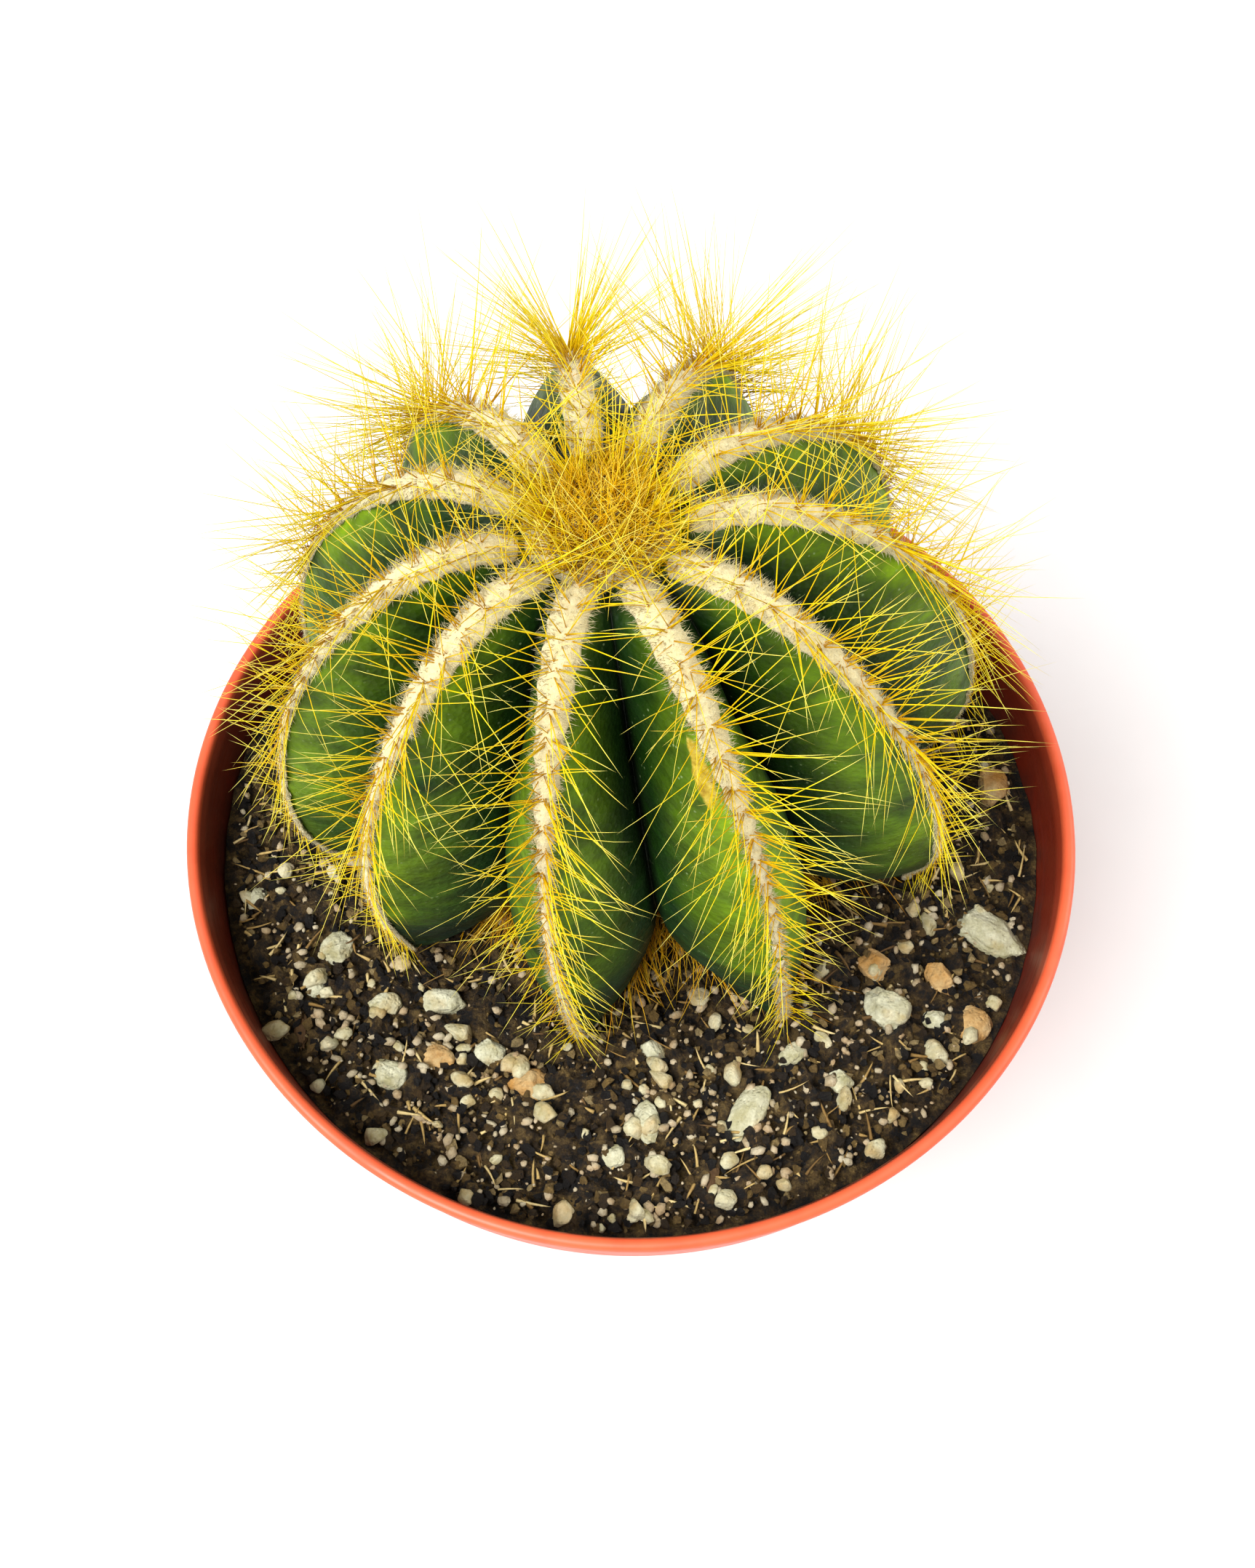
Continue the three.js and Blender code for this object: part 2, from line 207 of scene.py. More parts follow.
def move_vertices(obj, places):
    obj.data.vertices.foreach_set("co", np.ascontiguousarray(places, dtype=float).ravel())
    obj.data.update()


def mark_vertices(obj, name, values):
    layer = obj.data.attributes.new(name, "FLOAT", "POINT")
    layer.data.foreach_set("value", np.ascontiguousarray(values, dtype=np.float32))


def weld(obj, distance=1e-7):
    take(obj)
    bpy.ops.object.mode_set(mode="EDIT")
    bpy.ops.mesh.select_all(action="SELECT")
    bpy.ops.mesh.remove_doubles(threshold=distance)
    bpy.ops.mesh.normals_make_consistent(inside=False)
    bpy.ops.object.mode_set(mode="OBJECT")


def rename(obj, name):
    obj.name = name
    obj.data.name = name
    return obj


def settle(obj, material, nodes=()):
    """Rides the piece on the plant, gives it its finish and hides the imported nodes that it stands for."""
    obj.data.materials.clear()
    obj.data.materials.append(material)
    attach(obj, "root")
    for node in nodes:
        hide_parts(node)


def lumps(places, size, seed, octaves=3):
    """Soft noise from -1 to 1 at each place, with features of the given size."""
    shift = Vector((seed * 7.1, seed * 3.3, seed * 5.7))
    return np.array(
        [noise.fractal(Vector(p) / size + shift, 1.0, 2.0, octaves) for p in places]
    )


# ---------------------------------------------------------------- stem surface


def ridge_outline(station):
    polar = np.clip(station, 0, 1) * (math.pi / 2)
    low = np.clip(station - 1, 0, 1)
    root = np.clip(station - 2, 0, 1)
    drop = SOIL_LEVEL - STEM_MIDDLE[2]
    top_r = STEM_RADIUS * np.sin(polar) ** SHOULDER_POWER
    top_z = STEM_RISE * np.cos(polar) - DIMPLE_DEPTH * np.exp(-((top_r / DIMPLE_RADIUS) ** 2))
    low_r = mix(STEM_RADIUS, FOOT_OF_RIBS, low**2)
    neck = np.minimum(1, 1.25 * root) ** 0.8
    root_r = mix(FOOT_OF_RIBS, ROOT_RADIUS, neck) * np.minimum(1, 4.2 * (1 - root))
    r = np.where(station <= 1, top_r, np.where(station <= 2, low_r, root_r))
    z = np.where(station <= 1, top_z, np.where(station <= 2, drop * low, drop - ROOT_DEPTH * root))
    return r, z


def furrow_depth(station):
    upper = 0.28 * smooth(station, 0.02, 0.45)
    lower = mix(0.28, 0.34, np.clip(station - 1, 0, 1))
    under = 0.34 * (1 - smooth(station, 2, 2.7))
    return np.where(station <= 1, upper, np.where(station <= 2, lower, under))


def rib_line(index, station):
    which = index % RIB_COUNT
    turns = index // RIB_COUNT
    azimuth = RIB_AZIMUTH[which] + RIB_LEAN[which] * (station - 0.7) + TAU * turns
    tuck = RIB_TUCK[which]
    return azimuth, RIB_REACH[which] * (1 - TUCK * tuck * smooth(station, 0.9, 2.0)), tuck


def stem_surface(station, side, fine=0.0):
    """Points of the stem, and for each its share of the way from the ridge (0) to the furrow (1).
    fine is 1 for the finished skin and 0 for the plain shape that felt and spines are laid out on."""
    station = np.asarray(station, float)
    side = np.asarray(side, float)
    index = np.floor(side).astype(int)
    share = side - index
    here, here_reach, here_tuck = rib_line(index, station)
    there, there_reach, there_tuck = rib_line(index + 1, station)
    from_ridge = 1 - np.abs(1 - 2 * share)
    depth = furrow_depth(station) * RIB_FURROW[index % RIB_COUNT]
    sunk = 1 - depth * from_ridge ** mix(1.3, 1.12, smooth(station, 1.1, 1.8))
    rootward = smooth(station, 2, 2.6)
    reach = mix(mix(here_reach, there_reach, share), 1, rootward)
    r, z = ridge_outline(station)
    azimuth = mix(here, there, share)
    if fine:
        above = 1 - smooth(station, 2.0, 2.2)
        crease = np.exp(-(((1 - from_ridge) / 0.06) ** 2)) * smooth(station, 0.15, 0.4)
        cheek = np.sin(math.pi * np.clip(from_ridge * 1.1, 0, 1))
        cheek = cheek * smooth(station, 0.2, 0.6) * (1 - smooth(station, 1.2, 1.8))
        scale = np.maximum(np.hypot(r, z), 10 * MM)
        sunk = sunk + fine * above * (0.45 * MM * cheek - 1.8 * MM * crease) / scale
    radius = r * reach * sunk
    fold = mix(mix(here_tuck, there_tuck, share), 1, from_ridge**0.9)
    arch = ARCH_RISE * fold * smooth(station, 1.2, 2.0) * (1 - smooth(station, 2.0, 2.6))
    points = np.stack([radius * np.sin(azimuth), -radius * np.cos(azimuth), z * sunk + arch], -1)
    points[..., 0] += STEM_LEAN[0] * points[..., 2]
    points[..., 1] += STEM_LEAN[1] * points[..., 2]
    return points + STEM_MIDDLE, from_ridge


def ridge_frames(rib, stations):
    """Along one rib: points on the ridge, and the directions down it, to its right side and out of it."""
    stations = np.asarray(stations, float)
    rib = np.full(stations.shape, float(rib))
    ridge, _ = stem_surface(stations, rib)
    step = 0.01
    along = unit(stem_surface(stations + step, rib)[0] - stem_surface(stations - step, rib)[0])
    aside = stem_surface(stations, rib + 0.25)[0] - stem_surface(stations, rib - 0.25)[0]
    aside = unit(aside - along * (aside * along).sum(-1, keepdims=True))
    return ridge, along, aside, np.cross(along, aside)


def station_at(rib, share):
    """The stations at the given shares, from 0 to 1, of the felt's length along a rib."""
    fine = np.linspace(FELT_START, FELT_END, 400)
    ridge, _ = stem_surface(fine, np.full(fine.shape, float(rib)))
    length = np.concatenate([[0], np.cumsum(np.linalg.norm(np.diff(ridge, axis=0), axis=1))])
    return np.interp(share * length[-1], length, fine)


# ---------------------------------------------------------------- needles


def needle_template(rings, sides):
    """A needle along +Z of length 1 and radius 1, rolled once from a grid and copied for every spine."""
    deselect_all()
    bpy.ops.mesh.primitive_grid_add(x_subdivisions=sides, y_subdivisions=rings, size=1)
    cone = bpy.context.object
    flat = vertices_of(cone)
    turn = (flat[:, 0] + 0.5) * TAU
    height = flat[:, 1] + 0.5
    radius = np.sqrt(np.clip(1 - height, 0, 1))
    move_vertices(cone, np.stack([radius * np.cos(turn), radius * np.sin(turn), height], -1))
    weld(cone, 1e-4)
    bpy.ops.object.mode_set(mode="EDIT")
    bpy.ops.mesh.select_all(action="DESELECT")
    bpy.ops.mesh.select_non_manifold()
    bpy.ops.mesh.edge_face_add()
    bpy.ops.mesh.select_all(action="SELECT")
    bpy.ops.mesh.quads_convert_to_tris()
    bpy.ops.mesh.normals_make_consistent(inside=False)
    bpy.ops.object.mode_set(mode="OBJECT")
    places = vertices_of(cone)
    faces = np.array([list(p.vertices) for p in cone.data.polygons])
    bpy.data.objects.remove(cone)
    return places, faces


def plant_needles(name, template, base, heading, length, radius, bend, tone, aged=None):
    """One mesh of many needles: each has its base, heading, length and radius, and bends by a vector.
    Those that would pierce the soil are pressed flat onto it."""
    places, faces = template
    count = len(base)
    height = places[:, 2]
    helper = np.where(np.abs(heading[:, 2:3]) < 0.9, [[0, 0, 1.0]], [[1.0, 0, 0]])
    right = unit(np.cross(heading, helper))
    up = np.cross(right, heading)
    spine = base[:, None] + heading[:, None] * (length[:, None] * height)[..., None]
    spine = spine + bend[:, None] * (height**2)[None, :, None]
    wide = right[:, None] * places[:, 0][None, :, None] + up[:, None] * places[:, 1][None, :, None]
    points = spine + wide * radius[:, None, None]
    ground = soil_height(points[..., 0], points[..., 1]) + 0.3 * MM
    above = points[..., 2] - ground
    points[..., 2] = ground + np.where(above < 0, 0.15 * above, above)
    mesh = bpy.data.meshes.new(name)
    all_faces = (faces[None] + (np.arange(count) * len(places))[:, None, None]).reshape(-1, 3)
    mesh.vertices.add(count * len(places))
    mesh.vertices.foreach_set("co", points.reshape(-1))
    mesh.loops.add(all_faces.size)
    mesh.loops.foreach_set("vertex_index", all_faces.reshape(-1))
    mesh.polygons.add(len(all_faces))
    mesh.polygons.foreach_set("loop_start", np.arange(len(all_faces)) * 3)
    mesh.update(calc_edges=True)
    mesh.validate()
    obj = bpy.data.objects.new(name, mesh)
    bpy.context.scene.collection.objects.link(obj)
    mesh.shade_smooth()
    mark_vertices(obj, "along", np.tile(height, count))
    mark_vertices(obj, "tone", np.repeat(tone, len(places)))
    mark_vertices(obj, "aged", np.repeat(np.zeros(count) if aged is None else aged, len(places)))
    return obj


# ---------------------------------------------------------------- materials


class Nodes:
    """A node tree, written one node at a time."""

    def __init__(self, tree):
        self.tree = tree

    def add(self, kind, inputs=None, **values):
        node = self.tree.nodes.new(kind)
        for key, value in values.items():
            setattr(node, key, value)
        for key, value in (inputs or {}).items():
            self.feed(node, key, value)
        return node

    def feed(self, node, key, value):
        socket = node.inputs[key]
        if isinstance(value, bpy.types.NodeSocket):
            self.tree.links.new(value, socket)
        elif isinstance(value, tuple) and len(value) == 3 and socket.type == "RGBA":
            socket.default_value = (*value, 1)
        else:
            socket.default_value = value

    def coordinates(self, scale=(1, 1, 1)):
        source = self.add("ShaderNodeTexCoord").outputs["Object"]
        return self.add("ShaderNodeMapping", {"Vector": source, "Scale": scale}).outputs[0]

    def attribute(self, name):
        return self.add("ShaderNodeAttribute", attribute_name=name).outputs["Fac"]

    def noise(self, vector, scale, detail=4.0, roughness=0.55):
        values = {"Vector": vector, "Scale": scale, "Detail": detail, "Roughness": roughness}
        return self.add("ShaderNodeTexNoise", values).outputs["Fac"]

    def cells(self, vector, scale):
        return self.add("ShaderNodeTexVoronoi", {"Vector": vector, "Scale": scale}).outputs["Distance"]

    def range(self, value, low, high, new_low=0.0, new_high=1.0):
        values = {"Value": value, "From Min": low, "From Max": high}
        values.update({"To Min": new_low, "To Max": new_high})
        return self.add("ShaderNodeMapRange", values).outputs[0]

    def math(self, operation, a, b=0.0):
        return self.add("ShaderNodeMath", {0: a, 1: b}, operation=operation).outputs[0]

    def blend(self, share, a, b, mode="MIX"):
        node = self.add("ShaderNodeMix", data_type="RGBA", blend_type=mode)
        for key, value in ((0, share), (6, a), (7, b)):
            self.feed(node, key, value)
        return node.outputs[2]

    def ramp(self, value, stops):
        node = self.add("ShaderNodeValToRGB", {"Fac": value})
        band = node.color_ramp.elements
        while len(band) < len(stops):
            band.new(0.5)
        for element, (place, colour) in zip(band, stops):
            element.position = place
            element.color = (*colour, 1)
        return node.outputs["Color"]

    def product(self, a, b):
        return self.math("MULTIPLY", a, b)


class Finish(Nodes):
    """A material's node tree, with its surface shader."""

    def __init__(self, name):
        self.material = bpy.data.materials.new(name)
        self.material.use_nodes = True
        super().__init__(self.material.node_tree)
        self.shader = self.tree.nodes["Principled BSDF"]

    def bump(self, height, strength, distance):
        values = {"Height": height, "Strength": strength, "Distance": distance}
        self.feed(self.shader, "Normal", self.add("ShaderNodeBump", values).outputs[0])

    def surface(self, **values):
        for key, value in values.items():
            self.feed(self.shader, key.replace("_", " "), value)
        return self.material

    def grit_and_shade(self, vector, scale, colour, dark):
        """The colour with painted shade in the low places of a fine grit, and the height of the grit."""
        values = {"Vector": vector, "Scale": scale, "Colour": colour, "Dark": dark}
        grit = self.add("ShaderNodeGroup", node_tree=grit_and_shade_group())
        for key, value in values.items():
            self.feed(grit, key, value)
        return grit.outputs["Colour"], grit.outputs["Height"]


def grit_and_shade_group():
    """Node group: a fine grit, with painted shade that darkens a colour where the grit is low, shared by the
    soil, its crumbs and the grains.
    """
    if "Grit and shade" in bpy.data.node_groups:
        return bpy.data.node_groups["Grit and shade"]
    nodes = Nodes(bpy.data.node_groups.new("Grit and shade", "ShaderNodeTree"))
    for label, kind in (("Vector", "Vector"), ("Scale", "Float"), ("Colour", "Color"), ("Dark", "Float")):
        nodes.tree.interface.new_socket(label, in_out="INPUT", socket_type=f"NodeSocket{kind}")
    for label, kind in (("Colour", "Color"), ("Height", "Float")):
        nodes.tree.interface.new_socket(label, in_out="OUTPUT", socket_type=f"NodeSocket{kind}")
    given = nodes.add("NodeGroupInput").outputs
    grain = nodes.range(nodes.noise(given["Vector"], given["Scale"], 6.0, 0.7), 0.35, 0.65)
    # Painted shade: the colour darkens to Dark where the grit's height is lowest.
    level = nodes.range(grain, 0.0, 1.0, given["Dark"], 1.0)
    shaded = nodes.blend(1.0, given["Colour"], level, "MULTIPLY")
    nodes.add("NodeGroupOutput", {"Colour": shaded, "Height": grain})
    return nodes.tree


def pot_material(colours):
    """Thin orange plastic: faint moulding streaks and scuffs outside, painted shade and smeared soil inside.
    """
    nodes = Finish("terracotta_plastic")
    place = nodes.coordinates()
    streaks = nodes.noise(nodes.coordinates((1, 1, 0.06)), 260.0, 3.0)
    clouds = nodes.noise(place, 45.0, 3.0)
    base = nodes.blend(nodes.range(clouds, 0.3, 0.7), tuple(colours.pot), tuple(colours.pot_light))
    base = nodes.blend(nodes.range(streaks, 0.45, 0.75, 0.0, 0.35), base, tuple(colours.pot_shade))
    film = nodes.noise(place, 140.0, 6.0, 0.65)
    inner = nodes.attribute("inner")
    soiled = nodes.product(nodes.attribute("soiled"), nodes.range(film, 0.35, 0.6))
    # Painted shade: the inner wall is darkened toward the shaded plastic colour, less near the lip.
    base = nodes.blend(nodes.product(inner, 0.85), base, tuple(colours.pot_inner_shade))
    base = nodes.blend(soiled, base, srgb(58, 38, 28))
    scuffs = nodes.range(nodes.noise(nodes.coordinates((0.25, 0.25, 3)), 500.0, 5.0), 0.5, 0.8)
    rough = nodes.range(nodes.math("ADD", scuffs, soiled), 0.0, 1.2, 0.42, 0.8)
    nodes.bump(nodes.math("ADD", streaks, nodes.product(film, 0.4)), 0.12, 0.0004)
    return nodes.surface(Base_Color=base, Roughness=rough)


def skin_material(colours):
    """Waxy green skin: yellow-green toward the ridges, a blue-grey bloom toward the furrows, pale flecks,
    and painted shade low down and in the furrows.
    """
    nodes = Finish("green_skin")
    place = nodes.coordinates()
    furrow = nodes.attribute("furrow")
    lower = nodes.attribute("lower")
    patches = nodes.noise(place, 62.0, 4.0, 0.62)
    clouds = nodes.noise(place, 190.0, 5.0, 0.62)
    near_ridge = nodes.range(furrow, 0.8, 0.1)
    yellow = nodes.product(near_ridge, nodes.range(patches, 0.34, 0.6))
    yellow = nodes.product(yellow, nodes.range(lower, 0.1, 0.75, 1.0, 0.1))
    smudges = nodes.range(clouds, 0.34, 0.66, 0.3, 1.0)
    sheltered = nodes.math("ADD", lower, nodes.product(furrow, 0.3))
    bloom = nodes.product(nodes.range(sheltered, 0.4, 0.95, 0.05, 1.0), smudges)
    base = nodes.blend(yellow, tuple(colours.skin), tuple(colours.skin_yellow))
    base = nodes.blend(bloom, base, tuple(colours.skin_bloom))
    mottling = nodes.noise(nodes.coordinates((1, 1, 1.6)), 170.0, 6.0, 0.6)
    base = nodes.blend(1.0, base, nodes.range(mottling, 0.34, 0.62, 0.5, 1.25), "MULTIPLY")
    # Painted shade: the skin darkens toward the soil, where the lower flanks turn away from the light.
    base = nodes.blend(nodes.range(lower, 0.2, 0.9, 0.0, 0.4), base, srgb(14, 36, 26))
    # Painted shade in the furrows near the crown, where the crowded spines shade them.
    painted_furrow_shade = nodes.range(nodes.attribute("painted_furrow_shade"), 0.25, 0.95, 0.0, 0.75)
    base = nodes.blend(painted_furrow_shade, base, srgb(16, 34, 8))
    # Painted shade along the bottom of each furrow's crease.
    base = nodes.blend(nodes.range(furrow, 0.9, 0.985, 0.0, 0.9), base, srgb(10, 20, 8))
    flecks = nodes.range(nodes.cells(place, 1150.0), 0.2, 0.11)
    chosen = nodes.range(nodes.noise(place, 520.0, 2.0), 0.52, 0.62)
    base = nodes.blend(nodes.product(nodes.product(flecks, chosen), 0.45), base, srgb(150, 170, 120))
    ragged = nodes.math("ADD", nodes.attribute("scar"), nodes.range(clouds, 0.3, 0.7, -0.3, 0.3))
    cork = nodes.ramp(
        nodes.noise(place, 900.0, 6.0, 0.7),
        ((0.3, srgb(120, 84, 20)), (0.5, srgb(176, 150, 48)), (0.75, srgb(206, 190, 96))),
    )
    base = nodes.blend(nodes.range(ragged, 0.45, 0.6), base, cork)
    base = nodes.blend(nodes.attribute("under"), base, srgb(64, 50, 22))
    wrinkles = nodes.noise(nodes.coordinates((1, 1, 2.4)), 240.0, 4.0)
    pores = nodes.cells(place, 1500.0)
    nodes.bump(nodes.math("ADD", wrinkles, nodes.product(pores, 0.25)), 0.45, 0.0008)
    rough = nodes.range(clouds, 0.3, 0.7, 0.45, 0.65)
    return nodes.surface(Base_Color=base, Roughness=rough, Specular_IOR_Level=0.22)


def felt_material(colours):
    """Short cream wool, with painted shade between its tufts, faint stains and some hairs browner at random.
    """
    nodes = Finish("cream_felt")
    place = nodes.coordinates()
    tufts = nodes.noise(place, 1500.0, 6.0, 0.7)
    tone = nodes.attribute("tone")
    base = nodes.blend(nodes.range(tufts, 0.35, 0.7), tuple(colours.felt_shade), tuple(colours.felt))
    stain = nodes.range(nodes.noise(place, 420.0, 3.0), 0.55, 0.75, 0.0, 0.2)
    base = nodes.blend(stain, base, srgb(220, 190, 124))
    base = nodes.blend(nodes.range(tone, 0.0, 1.0, 0.25, 0.0), base, srgb(206, 184, 124))
    nodes.bump(tufts, 0.8, 0.0005)
    return nodes.surface(Base_Color=base, Roughness=0.95, Sheen_Weight=0.35, Sheen_Roughness=0.6)


def spine_material(colours):
    """Golden spines: amber at the base, then gold and lemon, with a pale tip. Old ones are brown."""
    nodes = Finish("golden_spine")
    along = nodes.attribute("along")
    tone = nodes.attribute("tone")
    young = nodes.ramp(
        along,
        (
            (0.0, tuple(colours.spine_base)),
            (0.16, tuple(colours.spine_gold)),
            (0.5, tuple(colours.spine_lemon)),
            (1.0, srgb(250, 244, 140)),
        ),
    )
    amber = nodes.ramp(
        along, ((0.0, srgb(196, 126, 0)), (0.5, srgb(228, 174, 0)), (1.0, srgb(242, 206, 24)))
    )
    base = nodes.blend(tone, amber, young)
    brown = nodes.ramp(
        along, ((0.0, srgb(200, 132, 40)), (0.6, srgb(208, 136, 44)), (1.0, srgb(150, 84, 30)))
    )
    base = nodes.blend(nodes.attribute("aged"), base, brown)
    bands = nodes.noise(nodes.coordinates(), 1400.0, 2.0)
    base = nodes.blend(nodes.range(bands, 0.3, 0.7, 0.0, 0.25), base, srgb(170, 110, 20), "MULTIPLY")
    return nodes.surface(Base_Color=base, Roughness=0.5, Specular_IOR_Level=0.15)


def soil_material(colours):
    """Damp peat: near-black brown with lighter crumbs."""
    nodes = Finish("potting_mix")
    place = nodes.coordinates()
    clumps = nodes.noise(place, 430.0, 6.0, 0.72)
    base = nodes.ramp(
        clumps,
        ((0.4, tuple(colours.soil_dark)), (0.5, tuple(colours.soil)), (0.62, tuple(colours.soil_light))),
    )
    base, height = nodes.grit_and_shade(place, 1500.0, base, 0.45)
    bits = nodes.range(nodes.cells(place, 700.0), 0.17, 0.1)
    rare = nodes.range(nodes.noise(place, 380.0, 2.0), 0.56, 0.62)
    base = nodes.blend(nodes.product(bits, rare), base, srgb(176, 150, 116))
    nodes.bump(height, 1.0, 0.0009)
    return nodes.surface(Base_Color=base, Roughness=0.7)


def crumb_material(colours):
    """Crumbs of peat, each with its own tone from wet to dry."""
    nodes = Finish("peat_crumb")
    place = nodes.coordinates()
    tone = nodes.attribute("tone")
    base = nodes.ramp(
        tone,
        (
            (0.2, tuple(colours.soil_dark)),
            (0.5, tuple(colours.soil)),
            (0.8, tuple(colours.soil_light)),
            (0.95, srgb(196, 170, 116)),
        ),
    )
    base, height = nodes.grit_and_shade(place, 1900.0, base, 0.5)
    nodes.bump(height, 0.9, 0.0005)
    return nodes.surface(Base_Color=base, Roughness=0.6)


def grain_material(name, pale, shade, stain, stain_share):
    """Porous mineral grains: the pale colour clouded with a painted shade colour, painted shade in the soft
    hollows, and a stain.
    """
    nodes = Finish(name)
    place = nodes.coordinates()
    clouds = nodes.noise(place, 420.0, 5.0, 0.6)
    # Random clouds between the pale colour and its painted shade colour.
    base = nodes.blend(nodes.range(clouds, 0.34, 0.62), shade, pale)
    spots = nodes.range(nodes.noise(place, 260.0, 3.0), 0.62 - 0.25 * stain_share, 0.78)
    base = nodes.blend(nodes.product(spots, 0.75), base, stain)
    pits = nodes.cells(place, 1500.0)
    base, height = nodes.grit_and_shade(place, 2600.0, base, 0.8)
    hollows = nodes.range(pits, 0.0, 0.35)
    # Painted shade in the hollows of the pits.
    base = nodes.blend(nodes.range(hollows, 0.5, 0.0, 0.0, 0.4), base, shade)
    nodes.bump(nodes.math("ADD", hollows, nodes.product(height, 0.5)), 0.6, 0.0004)
    return nodes.surface(Base_Color=base, Roughness=0.88)


def fibre_material():
    """Straw, bark and root fibres, each with its own tone from brown to pale."""
    nodes = Finish("bark")
    tone = nodes.attribute("tone")
    base = nodes.ramp(
        tone,
        (
            (0.0, srgb(84, 60, 30)),
            (0.4, srgb(150, 118, 62)),
            (0.75, srgb(206, 178, 112)),
            (1.0, srgb(232, 212, 152)),
        ),
    )
    grain = nodes.noise(nodes.coordinates(), 2200.0, 4.0)
    base = nodes.blend(nodes.range(grain, 0.3, 0.7, 0.0, 0.4), base, srgb(150, 124, 84), "MULTIPLY")
    nodes.bump(grain, 0.5, 0.0003)
    return nodes.surface(Base_Color=base, Roughness=0.8)


# ---------------------------------------------------------------- settings


def colour(name, value, text):
    return FloatVectorProperty(
        name=name, description=text, default=value, subtype="COLOR", size=3, min=0, max=1
    )


def length(name, value, text):
    return FloatProperty(
        name=name, description=text, default=value, subtype="DISTANCE", unit="LENGTH", precision=5
    )


def number(name, value, text):
    return IntProperty(name=name, description=text, default=value, min=1)


def power(name, value, text):
    return FloatProperty(name=name, description=text, default=value, subtype="POWER")


def angle(name, degrees, text):
    return FloatProperty(name=name, description=text, default=math.radians(degrees), subtype="ANGLE")


class CactusColours(bpy.types.PropertyGroup):
    pot: colour("Pot", srgb(228, 92, 58), "Orange plastic of the pot")
    pot_light: colour("Pot, light", srgb(234, 102, 66), "Lighter clouds in the plastic")
    pot_shade: colour("Pot, streaks", srgb(204, 72, 44), "Moulding streaks in the plastic")
    pot_inner_shade: colour("Pot, inside", srgb(98, 18, 0), "Shaded plastic inside the pot")
    skin: colour("Skin", srgb(30, 60, 8), "Deep green of the ribs' sides")
    skin_yellow: colour("Skin, yellow", srgb(128, 162, 10), "Yellow-green patches near the ridges")
    skin_bloom: colour("Skin, bloom", srgb(40, 68, 56), "Blue-grey bloom low on the ribs")
    felt: colour("Felt", srgb(240, 231, 184), "Cream wool")
    felt_shade: colour("Felt, shade", srgb(224, 206, 146), "Wool between the tufts")
    spine_base: colour("Spine, base", srgb(214, 150, 0), "Amber foot of a spine")
    spine_gold: colour("Spine, gold", srgb(236, 200, 0), "Golden middle of a spine")
    spine_lemon: colour("Spine, lemon", srgb(242, 226, 30), "Yellow upper part of a spine")
    soil: colour("Soil", srgb(86, 64, 28), "Peat")
    soil_dark: colour("Soil, dark", srgb(20, 11, 2), "Wet peat in the hollows")
    soil_light: colour("Soil, light", srgb(156, 126, 70), "Dry crumbs")


class CactusSizes(bpy.types.PropertyGroup):
    lip_wave: length("Lip wave", 0.25 * MM, "How far the thin rim strays from a true circle")
    felt_top: length("Felt width at the crown", 3.8 * MM, "Width of the wool where a rib leaves the crown")
    felt_low: length("Felt width at the soil", 1.4 * MM, "Width of the wool low on a rib")
    felt_pile: length("Pile", 1.05 * MM, "Length of the hairs of the wool")
    spine_long: length("Longest spines", 16.5 * MM, "Length of the longest spines, high on a rib")
    spine_short: length("Low spines", 8.2 * MM, "Length of the spines near the soil")
    spine_radius: length("Spine radius", 0.082 * MM, "Radius of a spine at its foot")
    crown_length: length("Crown spines", 11 * MM, "Length of the young spines in the crown")
    areoles: number("Areoles", 26, "Spine cushions along each rib")
    spines: number("Spines", 13, "Spines on each cushion")
    hairs: number("Hairs", 3200, "Wool hairs on each rib")
    crown_spines: number("Crown spines", 2100, "Young spines in the crown")
    thicket: number("Old spines", 2600, "Old spines under the ribs' feet")
    crumbs: number("Crumbs", 9800, "Loose crumbs of peat on the soil")
    specks: number("Specks", 1700, "Small white grains on the soil")
    chips: number("Chips", 150, "White and tan chips on the soil")
    fibres: number("Fibres", 640, "Straw and root fibres on the soil")


class CactusStage(bpy.types.PropertyGroup):
    distance: length("Camera distance", 190 * MM, "From the camera to the point that it looks at")
    elevation: angle("Elevation", 62.5, "Height of the view")
    roll: angle("Roll", 1.2, "Turn of the view")
    lens: FloatProperty(name="Lens", description="Focal length in millimetres", default=35.73)
    key: power("Key light", 8.6, "Power of the main soft light")
    fill: power("Fill light", 2.6, "Power of the second soft light")
    sky: FloatProperty(name="Surroundings", description="Brightness of the surroundings", default=0.45)


class CactusSettings(bpy.types.PropertyGroup):
    colours: PointerProperty(type=CactusColours)
    sizes: PointerProperty(type=CactusSizes)
    stage: PointerProperty(type=CactusStage)


# ---------------------------------------------------------------- pot


def unspun(name, profile, segments):
    """A grid to be turned into a round piece with this profile, a list of radii and heights. Gives the
    object, and the turn, radius and height of each of its vertices."""
    deselect_all()
    rows = len(profile) - 1
    bpy.ops.mesh.primitive_grid_add(x_subdivisions=segments, y_subdivisions=rows, size=1)
    obj = rename(bpy.context.object, name)
    flat = vertices_of(obj)
    row = np.rint((flat[:, 1] + 0.5) * rows).astype(int)
    return obj, (flat[:, 0] + 0.5) * TAU, profile[row, 0], profile[row, 1]


def spin(obj, turn, radius, height):
    move_vertices(obj, np.stack([radius * np.sin(turn), -radius * np.cos(turn), height], -1))
    weld(obj)


